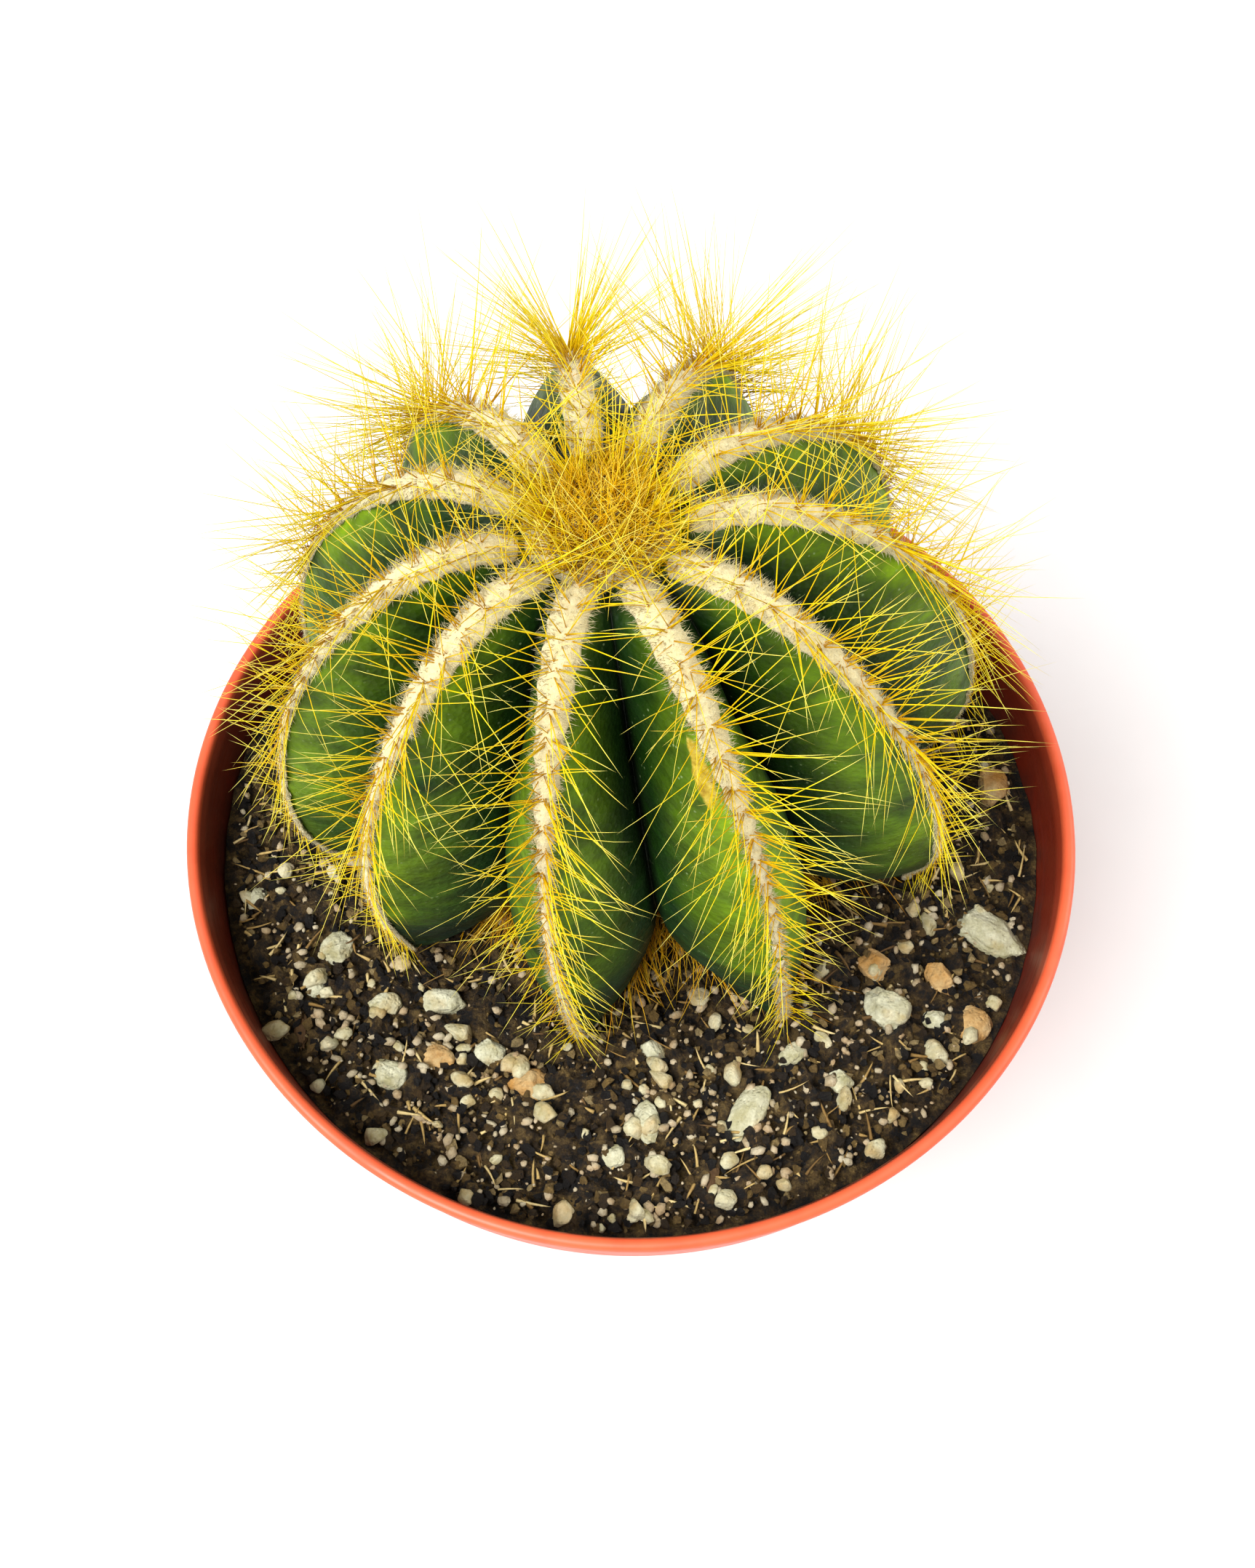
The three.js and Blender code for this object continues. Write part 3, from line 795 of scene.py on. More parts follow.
def pot_profile():
    """Radii and heights from the middle of the foot, up outside to the lip and down inside to the floor."""
    lip = LIP_WIDTH / 2
    outer = [
        (0, 0),
        (FOOT_RADIUS - 1 * MM, 0),
        (FOOT_RADIUS - 0.3 * MM, 0.3 * MM),
        (FOOT_RADIUS, 1 * MM),
    ]
    wall_top = (COLLAR_INNER + WALL - COLLAR_STEP, COLLAR_Z - 1 * MM)
    for k in range(1, 9):
        share = k / 8
        outer.append((mix(FOOT_RADIUS, wall_top[0], share), mix(1 * MM, wall_top[1], share)))
    outer.append((COLLAR_INNER + WALL - 0.4 * MM, COLLAR_Z - 0.4 * MM))
    outer.append((COLLAR_INNER + WALL, COLLAR_Z + 0.2 * MM))
    outer.append((RIM_RADIUS - LIP_OVERHANG, POT_HEIGHT - 2 * MM))
    for k in range(13):
        turn = mix(-0.9, math.pi, k / 12)
        outer.append((RIM_RADIUS - lip + lip * math.cos(turn), POT_HEIGHT - lip + lip * math.sin(turn)))
    inner = [
        (RIM_RADIUS - LIP_WIDTH - 0.05 * MM, POT_HEIGHT - 1.2 * MM),
        (RIM_RADIUS - LIP_WIDTH - 0.3 * MM, POT_HEIGHT - 1.8 * MM),
    ]
    for k in range(1, 9):
        share = k / 8
        inner.append((mix(inner[1][0], COLLAR_INNER, share), mix(inner[1][1], COLLAR_Z, share)))
    inner.append((COLLAR_INNER - COLLAR_STEP, COLLAR_Z - STEP_RISE))
    inner.append((FOOT_RADIUS - WALL, FLOOR))
    inner.append((0, FLOOR))
    return np.array(outer + inner)


class CACTUS_OT_pot(bpy.types.Operator):
    """Spin the thin wall of the pot, cut its drainage notches and mark its inside"""

    bl_idname = "cactus.make_pot"
    bl_label = "Pot"

    def execute(self, context):
        pot, turn, radius, height = unspun("nursery_pot", pot_profile(), POT_SEGMENTS)
        high = smooth(height, 0.4 * POT_HEIGHT, POT_HEIGHT)
        wave = np.sin(3 * turn + 0.7) + 0.6 * np.sin(5 * turn + 2.1) - 1.6
        wave = 0.4 * settings(context).sizes.lip_wave * wave * high
        spin(pot, turn, np.where(radius > 0, radius + wave, 0), height)
        cutter = self.drains(context)
        cut = pot.modifiers.new("Drains", "BOOLEAN")
        cut.operation = "DIFFERENCE"
        cut.object = cutter
        take(pot)
        bpy.ops.object.modifier_apply(modifier=cut.name)
        bpy.data.objects.remove(cutter)
        self.mark_inside(pot)
        take(pot)
        bpy.ops.object.shade_smooth_by_angle(angle=math.radians(40))
        settle(pot, pot_material(settings(context).colours), ["pot"])
        return {"FINISHED"}

    def drains(self, context):
        """One cutter of rounded boxes, spaced round the foot."""
        deselect_all()
        made = []
        for k in range(DRAIN_COUNT):
            azimuth = TAU * (k + 0.5) / DRAIN_COUNT
            bpy.ops.mesh.primitive_cube_add(size=1)
            box = context.object
            place = Matrix.Rotation(azimuth, 4, "Z") @ Matrix.Translation((0, -FOOT_RADIUS, 0))
            box.data.transform(place @ Matrix.Diagonal((*DRAIN_SIZE, 1)))
            bevel = box.modifiers.new("Round", "BEVEL")
            bevel.width = DRAIN_ROUNDING
            bevel.segments = 3
            take(box)
            bpy.ops.object.modifier_apply(modifier=bevel.name)
            made.append(box)
        deselect_all()
        for box in made:
            box.select_set(True)
        context.view_layer.objects.active = made[0]
        bpy.ops.object.join()
        return context.object

    def mark_inside(self, pot):
        """Marks the inner wall for its painted shade, weaker near the lip, and how much soil clings to it.
        """
        places = vertices_of(pot)
        radius = np.hypot(places[:, 0], places[:, 1])
        height = places[:, 2]
        outside = np.array(
            [
                (0, FOOT_RADIUS),
                (COLLAR_Z - 1 * MM, COLLAR_INNER + WALL - COLLAR_STEP),
                (COLLAR_Z, COLLAR_INNER + WALL),
                (POT_HEIGHT - 2 * MM, RIM_RADIUS - LIP_OVERHANG),
                (POT_HEIGHT, RIM_RADIUS),
            ]
        )
        within = radius < np.interp(height, *outside.T) - 0.66 * WALL
        within = within & (height > 1.2 * MM) & (height < POT_HEIGHT - 0.9 * MM)
        near_lip = smooth(height, POT_HEIGHT - 3 * MM, POT_HEIGHT)
        near_soil = 1 - smooth(height, SOIL_LEVEL + 1 * MM, SOIL_LEVEL + 6 * MM)
        # Painted shade on the inner wall, weaker near the lip.
        mark_vertices(pot, "inner", np.where(within, 1 - 0.35 * near_lip, 0))
        mark_vertices(pot, "soiled", np.where(within, 0.1 + 0.5 * near_soil, 0))


# ---------------------------------------------------------------- soil


def soil_height(x, y):
    """The soil's gentle heap, in metres, at a place given in metres."""
    x, y = x / MM, y / MM
    heap = 0.6 * np.sin(0.11 * x + 0.6) + 0.5 * np.cos(0.13 * y - 0.4)
    crumb = 0.45 * np.sin(0.71 * x + 0.37 * y) * np.cos(0.63 * y - 0.29 * x)
    return SOIL_LEVEL + (heap + crumb) * MM


def chipped(places, seed, cuts, depth):
    """Flattens a lump of about unit diameter where chips have broken off it, one flat for each cut."""
    rng = np.random.default_rng(seed)
    for way in unit(rng.normal(size=(cuts, 3))):
        over = np.clip(places @ way - rng.uniform(0.5 - depth, 0.46), 0, None)
        places = places - 0.9 * over[:, None] * way
    return places


def pebble_template(name, subdivisions, seed, strength, cuts=0):
    """A rough lump of about unit diameter, made once and copied for many crumbs, specks or chips."""
    deselect_all()
    bpy.ops.mesh.primitive_ico_sphere_add(subdivisions=subdivisions, radius=0.5)
    pebble = rename(bpy.context.object, name)
    places = vertices_of(pebble)
    rough = 1 + strength * lumps(unit(places) * 0.5, 0.4, seed, 2)
    places = chipped(places * rough[:, None], seed, cuts, 0.24)
    faces = np.array([list(p.vertices) for p in pebble.data.polygons])
    bpy.data.objects.remove(pebble)
    return places, faces


def strew(name, templates, rng, count, forward, span, rarity, lift, dusk=1.0):
    """One mesh of loose lumps on the soil. Their diameters lie between the two of span, and a greater
    rarity leaves fewer large ones. lift gives how far a lump of some size stands above the soil."""
    spots, sizes, tones = [], [], []
    for _ in range(count):
        place = open_soil(rng, forward)
        size = mix(*span, rng.random() ** rarity)
        place[2] = soil_height(place[0], place[1]) + lift(size) + 0.3 * MM
        spots.append(place)
        sizes.append(size)
        tones.append(rng.random() ** dusk)
    vertices, faces, shades, start = [], [], [], 0
    for k, (spot, size) in enumerate(zip(spots, sizes)):
        places, tris = templates[k % len(templates)]
        turn = Matrix.Rotation(rng.uniform(0, TAU), 3, "Z")
        turn = turn @ Matrix.Rotation(rng.uniform(-0.6, 0.6), 3, "X")
        stretch = [rng.uniform(0.8, 1.35), rng.uniform(0.7, 1.05), 0.75 * rng.uniform(0.8, 1.2)]
        vertices.append((places * stretch * size) @ np.array(turn).T + spot)
        faces.append(tris + start)
        shades.append(np.full(len(places), tones[k]))
        start += len(places)
    mesh = bpy.data.meshes.new(name)
    mesh.from_pydata(np.concatenate(vertices).tolist(), [], np.concatenate(faces).tolist())
    obj = bpy.data.objects.new(name, mesh)
    bpy.context.scene.collection.objects.link(obj)
    mark_vertices(obj, "tone", np.concatenate(shades))
    return obj


def open_soil(rng, forward):
    """A random place on the soil, kept off the stem's foot. A forward above 0 favours the front."""
    outer = SOIL_RADIUS - 1.2 * MM
    while True:
        place = around(rng.uniform(0, TAU), outer * math.sqrt(rng.random()))
        clear = math.dist(place[:2], STEM_FOOT) > STEM_FOOT_RADIUS
        if clear and rng.random() > forward * (0.5 + 0.5 * place[1] / outer):
            return place


class CACTUS_OT_soil(bpy.types.Operator):
    """Fill the pot with peat and strew crumbs, white specks and fibres on it"""

    bl_idname = "cactus.make_soil"
    bl_label = "Soil"

    def execute(self, context):
        sizes = settings(context).sizes
        colours = settings(context).colours
        rng = random.Random(SEED)
        self.bed(colours)
        self.crumbs(sizes, colours, rng)
        self.specks(sizes, rng)
        self.chips(sizes, rng)
        self.fibres(sizes, rng)
        return {"FINISHED"}

    def bed(self, colours):
        """The body of the soil, with a cloddy top."""
        side = [
            (0, FLOOR + SOIL_GAP),
            (FOOT_RADIUS - WALL - SOIL_GAP, FLOOR + SOIL_GAP),
            (SOIL_RADIUS - COLLAR_STEP, COLLAR_Z - STEP_RISE),
            (SOIL_RADIUS, COLLAR_Z + SOIL_GAP),
        ]
        top = [(SOIL_RADIUS * (1 - k / SOIL_RINGS), SOIL_LEVEL) for k in range(SOIL_RINGS + 1)]
        bed, turn, radius, height = unspun("soil_bed", np.array(side + top), SOIL_SEGMENTS)
        spin(bed, turn, radius, height)
        places = vertices_of(bed)
        top = places[:, 2] > SOIL_LEVEL - 1e-6
        spots = places[top]
        spots[:, 2] = soil_height(spots[:, 0], spots[:, 1])
        inward = smooth(SOIL_RADIUS - np.hypot(spots[:, 0], spots[:, 1]), 0, 2 * MM)
        spots[:, 2] += SOIL_CLODS * inward * lumps(spots, 2.6 * MM, 3, 5)
        places[top] = spots
        move_vertices(bed, places)
        bed.data.shade_smooth()
        settle(bed, soil_material(colours), ["potting_soil"])

    def crumbs(self, sizes, colours, rng):
        templates = [pebble_template("crumb", 1, seed, 0.9) for seed in range(12)]
        span = (0.35 * MM, 1.55 * MM)

        def lift(size):
            return rng.uniform(-0.1, 0.55) * size

        crumbs = strew("peat_crumbs", templates, rng, sizes.crumbs, 0, span, 2.5, lift, dusk=1.6)
        settle(crumbs, crumb_material(colours))

    def specks(self, sizes, rng):
        templates = [pebble_template("speck", 1, seed + 20, 0.5, 3) for seed in range(10)]
        span = (0.35 * MM, 1.55 * MM)

        def lift(size):
            return 0.35 * size + 0.05 * MM

        specks = strew("perlite_specks", templates, rng, sizes.specks, 0.7, span, 2.2, lift)
        specks.data.shade_smooth()
        tints = srgb(216, 204, 172), srgb(160, 140, 104), srgb(186, 140, 84)
        pale = grain_material("perlite_speck", *tints, 0.8)
        settle(specks, pale)

    def chips(self, sizes, rng):
        templates = [pebble_template("chip", 3, seed + 40, 0.3, 7) for seed in range(14)]
        span = (1.2 * MM, 3.2 * MM)

        def lift(size):
            return 0.25 * size

        chips = strew("perlite_chips", templates, rng, sizes.chips, 0.8, span, 1.6, lift)
        chips.data.shade_smooth()
        tints = srgb(226, 220, 182), srgb(176, 162, 112), srgb(206, 160, 84)
        pale = grain_material("perlite_chip", *tints, 0.7)
        settle(chips, pale)

    def fibres(self, sizes, rng):
        template = needle_template(4, 4)
        base, heading, lengths, radius, bend, tone = [], [], [], [], [], []
        for _ in range(sizes.fibres):
            place = open_soil(rng, 0.4)
            place[2] = soil_height(place[0], place[1]) + rng.uniform(0.3, 1.0) * MM
            direction = around(rng.uniform(0, TAU), 1.0, rng.uniform(-0.12, 0.2))
            long = rng.uniform(1.2, 4.2) * MM
            reach = math.hypot(*(place + direction * long)[:2])
            if reach > SOIL_RADIUS - 1 * MM:
                direction = -direction
                direction[2] = abs(direction[2])
            base.append(place)
            heading.append(direction)
            lengths.append(long)
            radius.append(rng.uniform(0.12, 0.28) * MM)
            bend.append(around(rng.uniform(0, TAU), 0.18 * long, rng.uniform(-0.05, 0.1) * long))
            tone.append(rng.random() ** 0.7)
        arrays = [np.array(v) for v in (base, heading, lengths, radius, bend, tone)]
        arrays[1] = unit(arrays[1])
        fibres = plant_needles("peat_fibres", template, *arrays)
        settle(fibres, fibre_material())


# ---------------------------------------------------------------- grains


def lump_of_stone(name, node, seed, lobes, rough):
    """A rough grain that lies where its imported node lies, with the same long axis and size."""
    solid = bpy.data.objects[node]
    spun, moved = np.array(solid.matrix_world.to_3x3()), np.array(solid.matrix_world.translation)
    packed = vertices_of(solid) @ spun.T + moved
    flat = packed[:, :2] - packed[:, :2].mean(0)
    long_axis = np.linalg.eigh(flat.T @ flat)[1][:, 1]
    turn = np.array([[long_axis[0], -long_axis[1], 0], [long_axis[1], long_axis[0], 0], [0, 0, 1]])
    packed = packed @ turn
    size = np.ptp(packed, axis=0)
    deselect_all()
    bpy.ops.mesh.primitive_ico_sphere_add(subdivisions=5, radius=0.5)
    stone = rename(bpy.context.object, name)
    way = unit(vertices_of(stone))
    broad = lumps(way * 0.5, 0.55, seed, 2)
    knobs = lumps(way * 0.5, 0.2, seed + 40, 3)
    grain = lumps(way * 0.5, 0.06, seed + 80, 3)
    places = chipped(0.5 * way * (1 + lobes * broad)[:, None], seed, 9, 0.2)
    places = places + way * (0.5 * rough * (knobs + 0.4 * grain))[:, None]
    middle = (places.max(0) + places.min(0)) / 2
    places = (places - middle) / np.ptp(places, axis=0) * size * 1.03
    move_vertices(stone, (places + packed.min(0) + size / 2) @ turn.T)
    stone.data.shade_smooth()
    return stone


class CACTUS_OT_grains(bpy.types.Operator):
    """Make every larger white, tan and bark grain in its hollow of the soil"""

    bl_idname = "cactus.make_grains"
    bl_label = "Grains"

    def execute(self, context):
        tints = srgb(226, 224, 192), srgb(178, 172, 128), srgb(204, 172, 100)
        perlite = grain_material("perlite", *tints, 0.4)
        tints = srgb(222, 194, 140), srgb(176, 134, 78), srgb(214, 146, 50)
        pumice = grain_material("pumice", *tints, 1.0)
        bark = fibre_material()
        kinds = (
            ("perlite_grain", "perlite", perlite, 0.2, 0.07),
            ("pumice_stone", "pumice", pumice, 0.24, 0.07),
            ("bark_sliver", "bark", bark, 0.2, 0.2),
        )
        for prefix, slot, material, lobes, rough in kinds:
            for seed, node in enumerate(sorted(n for n in frame["nodes"] if n.startswith(prefix))):
                stuff, _, order = node.split("_")
                name = f"{stuff}_{order}_lump"
                stone = lump_of_stone(name, node, seed + len(prefix), lobes, rough)
                settle(stone, material, [node])
        return {"FINISHED"}


# ---------------------------------------------------------------- stem


class CACTUS_OT_stem(bpy.types.Operator):
    """Shape the ribbed green stem with its creased furrows and the corky scar on one rib"""

    bl_idname = "cactus.make_stem"
    bl_label = "Stem"

    def execute(self, context):
        deselect_all()
        bpy.ops.mesh.primitive_uv_sphere_add(segments=RIB_COUNT * 28, ring_count=190, radius=1)
        stem = rename(context.object, "stem_skin")
        places = vertices_of(stem)
        polar = np.arccos(np.clip(places[:, 2], -1, 1)) / math.pi
        turn = np.arctan2(places[:, 1], places[:, 0]) / TAU
        station = np.interp(polar, RING_SHARES, [0, 1, 2, 3])
        side = (turn % 1) * RIB_COUNT
        side = side - 0.75 * np.sin(2 * TAU * side) / (2 * TAU)
        skin, from_ridge = stem_surface(station, side, fine=1.0)
        skin = self.weather(skin, station, side, from_ridge)
        move_vertices(stem, skin)
        stem.data.shade_smooth()
        mark_vertices(stem, "furrow", from_ridge)
        mark_vertices(stem, "lower", smooth(station, 0.3, 1.9))
        mark_vertices(stem, "under", smooth(station, 2.0, 2.12))
        # Painted shade: strongest in the furrows and fading out below the shoulder.
        mark_vertices(stem, "painted_furrow_shade", from_ridge * (1 - smooth(station, 0.35, 0.95)))
        mark_vertices(stem, "scar", self.scar(station, side))
        settle(stem, skin_material(settings(context).colours), ["cactus_stem"])
        return {"FINISHED"}

    def weather(self, skin, station, side, from_ridge):
        """Adds the soft swellings, the faint cross wrinkles and the notch at each areole."""
        out = unit(skin - STEM_MIDDLE)
        above = 1 - smooth(station, 2.0, 2.1)
        soft = 0.35 * MM * lumps(skin, 9 * MM, 5, 3)
        folds = 0.17 * MM * lumps(np.stack([side * 3, station * 26, 0 * side], -1), 1.0, 9, 2)
        folds = folds * smooth(from_ridge, 0.05, 0.5)
        knuckles = 0.22 * MM * np.cos(station * 82) * smooth(station, 0.5, 0.9)
        knuckles = knuckles * (1 - smooth(from_ridge, 0.0, 0.22))
        return skin + out * ((soft + folds + knuckles) * above)[:, None]

    def scar(self, station, side):
        """How corky the skin is: one weathered patch high on the left side of the second rib."""
        across = (side - SCAR_PLACE[0]) / SCAR_SIZE[0]
        down = (station - SCAR_PLACE[1]) / SCAR_SIZE[1]
        return np.clip(1 - (across**2 + down**2) * 0.5, 0, 1)


# ---------------------------------------------------------------- felt


def plant_hairs(name, template, rng, base, heading, length, bend):
    """Fine wool hairs, which bend by a share of their own length."""
    radius = rng.uniform(0.022, 0.036, len(base)) * MM
    tone = rng.uniform(0.4, 1, len(base))
    return plant_needles(name, template, base, heading, length, radius, bend * length[:, None], tone)


class CACTUS_OT_felt(bpy.types.Operator):
    """Lay a band of wool along every ridge, beaded at the areoles and fringed with short hairs"""

    bl_idname = "cactus.make_felt"
    bl_label = "Rib felt"

    def execute(self, context):
        sizes = settings(context).sizes
        wool = felt_material(settings(context).colours)
        hair = needle_template(2, 3)
        for rib in range(RIB_COUNT):
            band = self.band(context, rib, sizes)
            fringe = self.fringe(rib, sizes, hair)
            take(band)
            fringe.select_set(True)
            bpy.ops.object.join()
            settle(band, wool, [f"rib_felt_{rib + 1:02d}"])
        crown = self.crown(context, sizes, hair)
        settle(crown, wool, ["crown_felt"])
        return {"FINISHED"}

    def half_width(self, share, sizes):
        """Half the felt's width at each share of its length, pinched in between the areoles."""
        low = smooth(share, 0.05, 0.5)
        bead = 1 - mix(0.05, 0.16, low) * (1 - np.cos(TAU * sizes.areoles * share))
        ends = np.sqrt(np.clip(np.minimum(share, 1 - share) / 0.012, 0, 1))
        return 0.5 * mix(sizes.felt_top, sizes.felt_low, low) * bead * ends

    def band(self, context, rib, sizes):
        """The solid wool of one rib."""
        steps = sizes.areoles * 9
        deselect_all()
        bpy.ops.mesh.primitive_grid_add(x_subdivisions=16, y_subdivisions=steps, size=1)
        band = rename(context.object, f"felt_band_{rib + 1:02d}")
        flat = vertices_of(band)
        turn = -(flat[:, 0] + 0.5) * TAU
        share = flat[:, 1] + 0.5
        ridge, _, aside, out = ridge_frames(rib, station_at(rib, share))
        half = self.half_width(share, sizes)
        across = np.cos(turn) * half
        rise = np.where(np.sin(turn) > 0, 0.62, 0.3) * np.sin(turn) * np.minimum(half, 1.1 * MM)
        rise = rise + 0.1 * MM - 0.3 * np.abs(across)
        places = ridge + aside * across[:, None] + out * rise[:, None]
        move_vertices(band, places)
        weld(band)
        places = vertices_of(band)
        tufts = 0.22 * MM * lumps(places, 0.7 * MM, rib, 3)
        band_out = unit(places - STEM_MIDDLE)
        move_vertices(band, places + band_out * tufts[:, None])
        band.data.shade_smooth()
        mark_vertices(band, "tone", np.full(len(places), 0.8))
        return band

    def fringe(self, rib, sizes, hair):
        """The loose hairs of one rib's wool."""
        rng = np.random.default_rng(SEED + rib)
        count = sizes.hairs
        share = rng.uniform(0.002, 0.995, count)
        ridge, along, aside, out = ridge_frames(rib, station_at(rib, share))
        half = self.half_width(share, sizes)
        hand = rng.choice([-1.0, 1.0], count)
        across = hand * half * rng.uniform(0.0, 1.0, count) ** 0.6
        lift = 0.5 * np.sqrt(np.clip(half**2 - across**2, 0, None)) - 0.3 * np.abs(across)
        base = ridge + aside * across[:, None] + out * lift[:, None]
        lean = np.abs(across) / np.maximum(half, 1e-6)
        heading = aside * (hand * (0.2 + 1.0 * lean))[:, None] + out * (0.75 - 0.5 * lean)[:, None]
        heading = unit(heading + along * rng.uniform(-0.55, 0.7, count)[:, None])
        long = sizes.felt_pile * rng.uniform(0.5, 1.25, count) * mix(1.0, 0.7, share)
        bend = along * rng.normal(0, 0.25, (count, 1)) - out * rng.uniform(0, 0.35, (count, 1))
        return plant_hairs(f"fringe_{rib}", hair, rng, base, heading, long, bend)

    def crown(self, context, sizes, hair):
        """The wool cushion that fills the dimple."""
        low, high = (np.array(corner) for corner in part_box("crown_felt"))
        middle = (high + low) / 2
        size = (high - low) / 2 * [1.0, 1.0, 0.8]
        deselect_all()
        bpy.ops.mesh.primitive_uv_sphere_add(segments=96, ring_count=48, radius=1)
        crown = rename(context.object, "crown_wool")
        places = vertices_of(crown) * size + middle
        rough = 0.5 * MM * lumps(places, 1.6 * MM, 77, 4)
        places = places + unit(places - CROWN) * rough[:, None]
        move_vertices(crown, places)
        crown.data.shade_smooth()
        mark_vertices(crown, "tone", np.full(len(places), 0.8))
        rng = np.random.default_rng(SEED + 50)
        count = CROWN_HAIRS
        turn = rng.uniform(0, TAU, count)
        tilt = rng.uniform(0.1, 1.35, count)
        heading = np.stack([np.sin(turn) * np.sin(tilt), -np.cos(turn) * np.sin(tilt), np.cos(tilt)], -1)
        base = middle + heading * size * 0.97
        heading = unit(heading + rng.normal(0, 0.3, (count, 3)))
        long = sizes.felt_pile * rng.uniform(0.7, 1.6, count)
        bend = rng.normal(0, 0.25, (count, 3))
        fuzz = plant_hairs("crown_fuzz", hair, rng, base, heading, long, bend)
        take(crown)
        fuzz.select_set(True)
        bpy.ops.object.join()
        return crown


# ---------------------------------------------------------------- spines


class CACTUS_OT_spines(bpy.types.Operator):
    """Grow the golden spines of every areole and the thick tuft of the crown"""

    bl_idname = "cactus.make_spines"
    bl_label = "Spines"

    def execute(self, context):
        sizes = settings(context).sizes
        gold = spine_material(settings(context).colours)
        needle = needle_template(5, 3)
        for rib in range(RIB_COUNT):
            row = self.row(rib, sizes, needle)
            settle(row, gold, [f"rib_spines_{rib + 1:02d}"])
        thicket = self.thicket(sizes, needle)
        settle(thicket, gold)
        tuft = self.tuft(sizes, needle)
        settle(tuft, gold, ["crown_spines"])
        return {"FINISHED"}

    def row(self, rib, sizes, needle):
        """One rib: on each areole a fan of spines to both sides, and short brown ones curled on the felt.
        They are longer at the rear and shorter and fewer toward the soil."""
        rng = np.random.default_rng(SEED + 100 + rib)
        shares = (np.arange(sizes.areoles) + 0.5) / sizes.areoles
        ridge, along, aside, out = ridge_frames(rib, station_at(rib, shares))
        rear = smooth(-math.cos(RIB_AZIMUTH[rib]), 0.0, 0.9)
        left = smooth(-math.sin(RIB_AZIMUTH[rib]), 0.5, 0.9)
        parts = []
        for k, share in enumerate(shares):
            crowd = mix(0.7, 1.3, smooth(share, 0.02, 0.2)) * mix(1.0, 0.38, smooth(share, 0.3, 0.7))
            fan = round(sizes.spines * crowd * mix(1.0, 1.5, rear * smooth(share, 0.1, 0.25)))
            hand = np.where(np.arange(fan) % 2 == 0, 1.0, -1.0)
            spread = rng.uniform(0.3, 1.25, fan)
            fall = rng.normal(mix(0.0, 0.75, share**1.2), mix(0.55, 0.42, share), fan)
            rise = rng.uniform(0.12, 1.7, fan) * mix(1.0, 0.5, smooth(share, 0.25, 0.7))
            heading = aside[k] * (hand * spread)[:, None] + along[k] * fall[:, None]
            heading = unit(heading + out[k] * rise[:, None])
            longest = mix(sizes.spine_long, sizes.spine_short, smooth(share, 0.3, 0.8))
            longest = longest * mix(1.0, 1.22, rear) * mix(1.0, 0.72, left * smooth(share, 0.25, 0.6))
            long = longest * rng.uniform(0.42, 1.0, fan)
            base = ridge[k] + aside[k] * rng.uniform(-0.5, 0.5, (fan, 1)) * MM
            base = base + along[k] * rng.uniform(-0.6, 0.6, (fan, 1)) * MM + out[k] * 0.15 * MM
            droop = rng.normal(0.02, 0.08, (fan, 1)) * along[k]
            droop = droop + rng.normal(-0.03, 0.07, (fan, 1)) * out[k]
            radius = sizes.spine_radius * rng.uniform(0.7, 1.1, fan) * mix(1.0, 0.72, share)
            tone = np.clip(rng.normal(0.82, 0.22, fan), 0, 1)
            parts.append((base, heading, long, radius, droop * long[:, None], tone, np.zeros(fan)))
            parts.append(self.curls(rng, ridge[k], along[k], aside[k], out[k]))
        arrays = [np.concatenate([p[i] for p in parts]) for i in range(7)]
        return plant_needles(f"spine_row_{rib + 1:02d}", needle, *arrays)

    def curls(self, rng, ridge, along, aside, out):
        """Short brown middle spines that lie hooked on the wool."""
        count = rng.integers(0, 3)
        heading = aside * rng.normal(0, 0.9, (count, 1)) + along * rng.normal(0.1, 0.5, (count, 1))
        heading = unit(heading + out * 0.7)
        long = rng.uniform(1.3, 2.8, count) * MM
        bend = aside * rng.normal(0, 0.5, (count, 1)) - out * rng.uniform(0.2, 0.6, (count, 1))
        bend = bend * long[:, None]
        base = ridge + out * 0.6 * MM + aside * rng.uniform(-0.5, 0.5, (count, 1)) * MM
        base = base + along * rng.uniform(-1.2, 1.2, (count, 1)) * MM
        aged = rng.uniform(0.2, 0.6, count)
        return base, heading, long, np.full(count, CURL_RADIUS), bend, np.full(count, 0.3), aged

    def thicket(self, sizes, needle):
        """Old spines that crowd in the hollows under the arches between the ribs' feet."""
        rng = np.random.default_rng(SEED + 200)
        count = sizes.thicket
        side = rng.integers(0, RIB_COUNT, count) + 0.5 + rng.normal(0, 0.2, count)
        station = rng.uniform(2.03, 2.2, count)
        base, _ = stem_surface(station, side % RIB_COUNT)
        away = unit((base - STEM_MIDDLE) * [1, 1, 0])
        heading = away * rng.uniform(0.5, 1.3, (count, 1))
        heading = heading + rng.normal(0, 0.45, (count, 3)) - [0, 0, 0.45]
        long = rng.uniform(4, 9.5, count) * MM
        bend = rng.normal(0, 0.12, (count, 3)) * long[:, None]
        tone = rng.uniform(0, 0.5, count)
        aged = rng.uniform(0.1, 0.8, count)
        thick = np.full(count, sizes.spine_radius)
        return plant_needles("old_spines", needle, base, unit(heading), long, thick, bend, tone, aged)

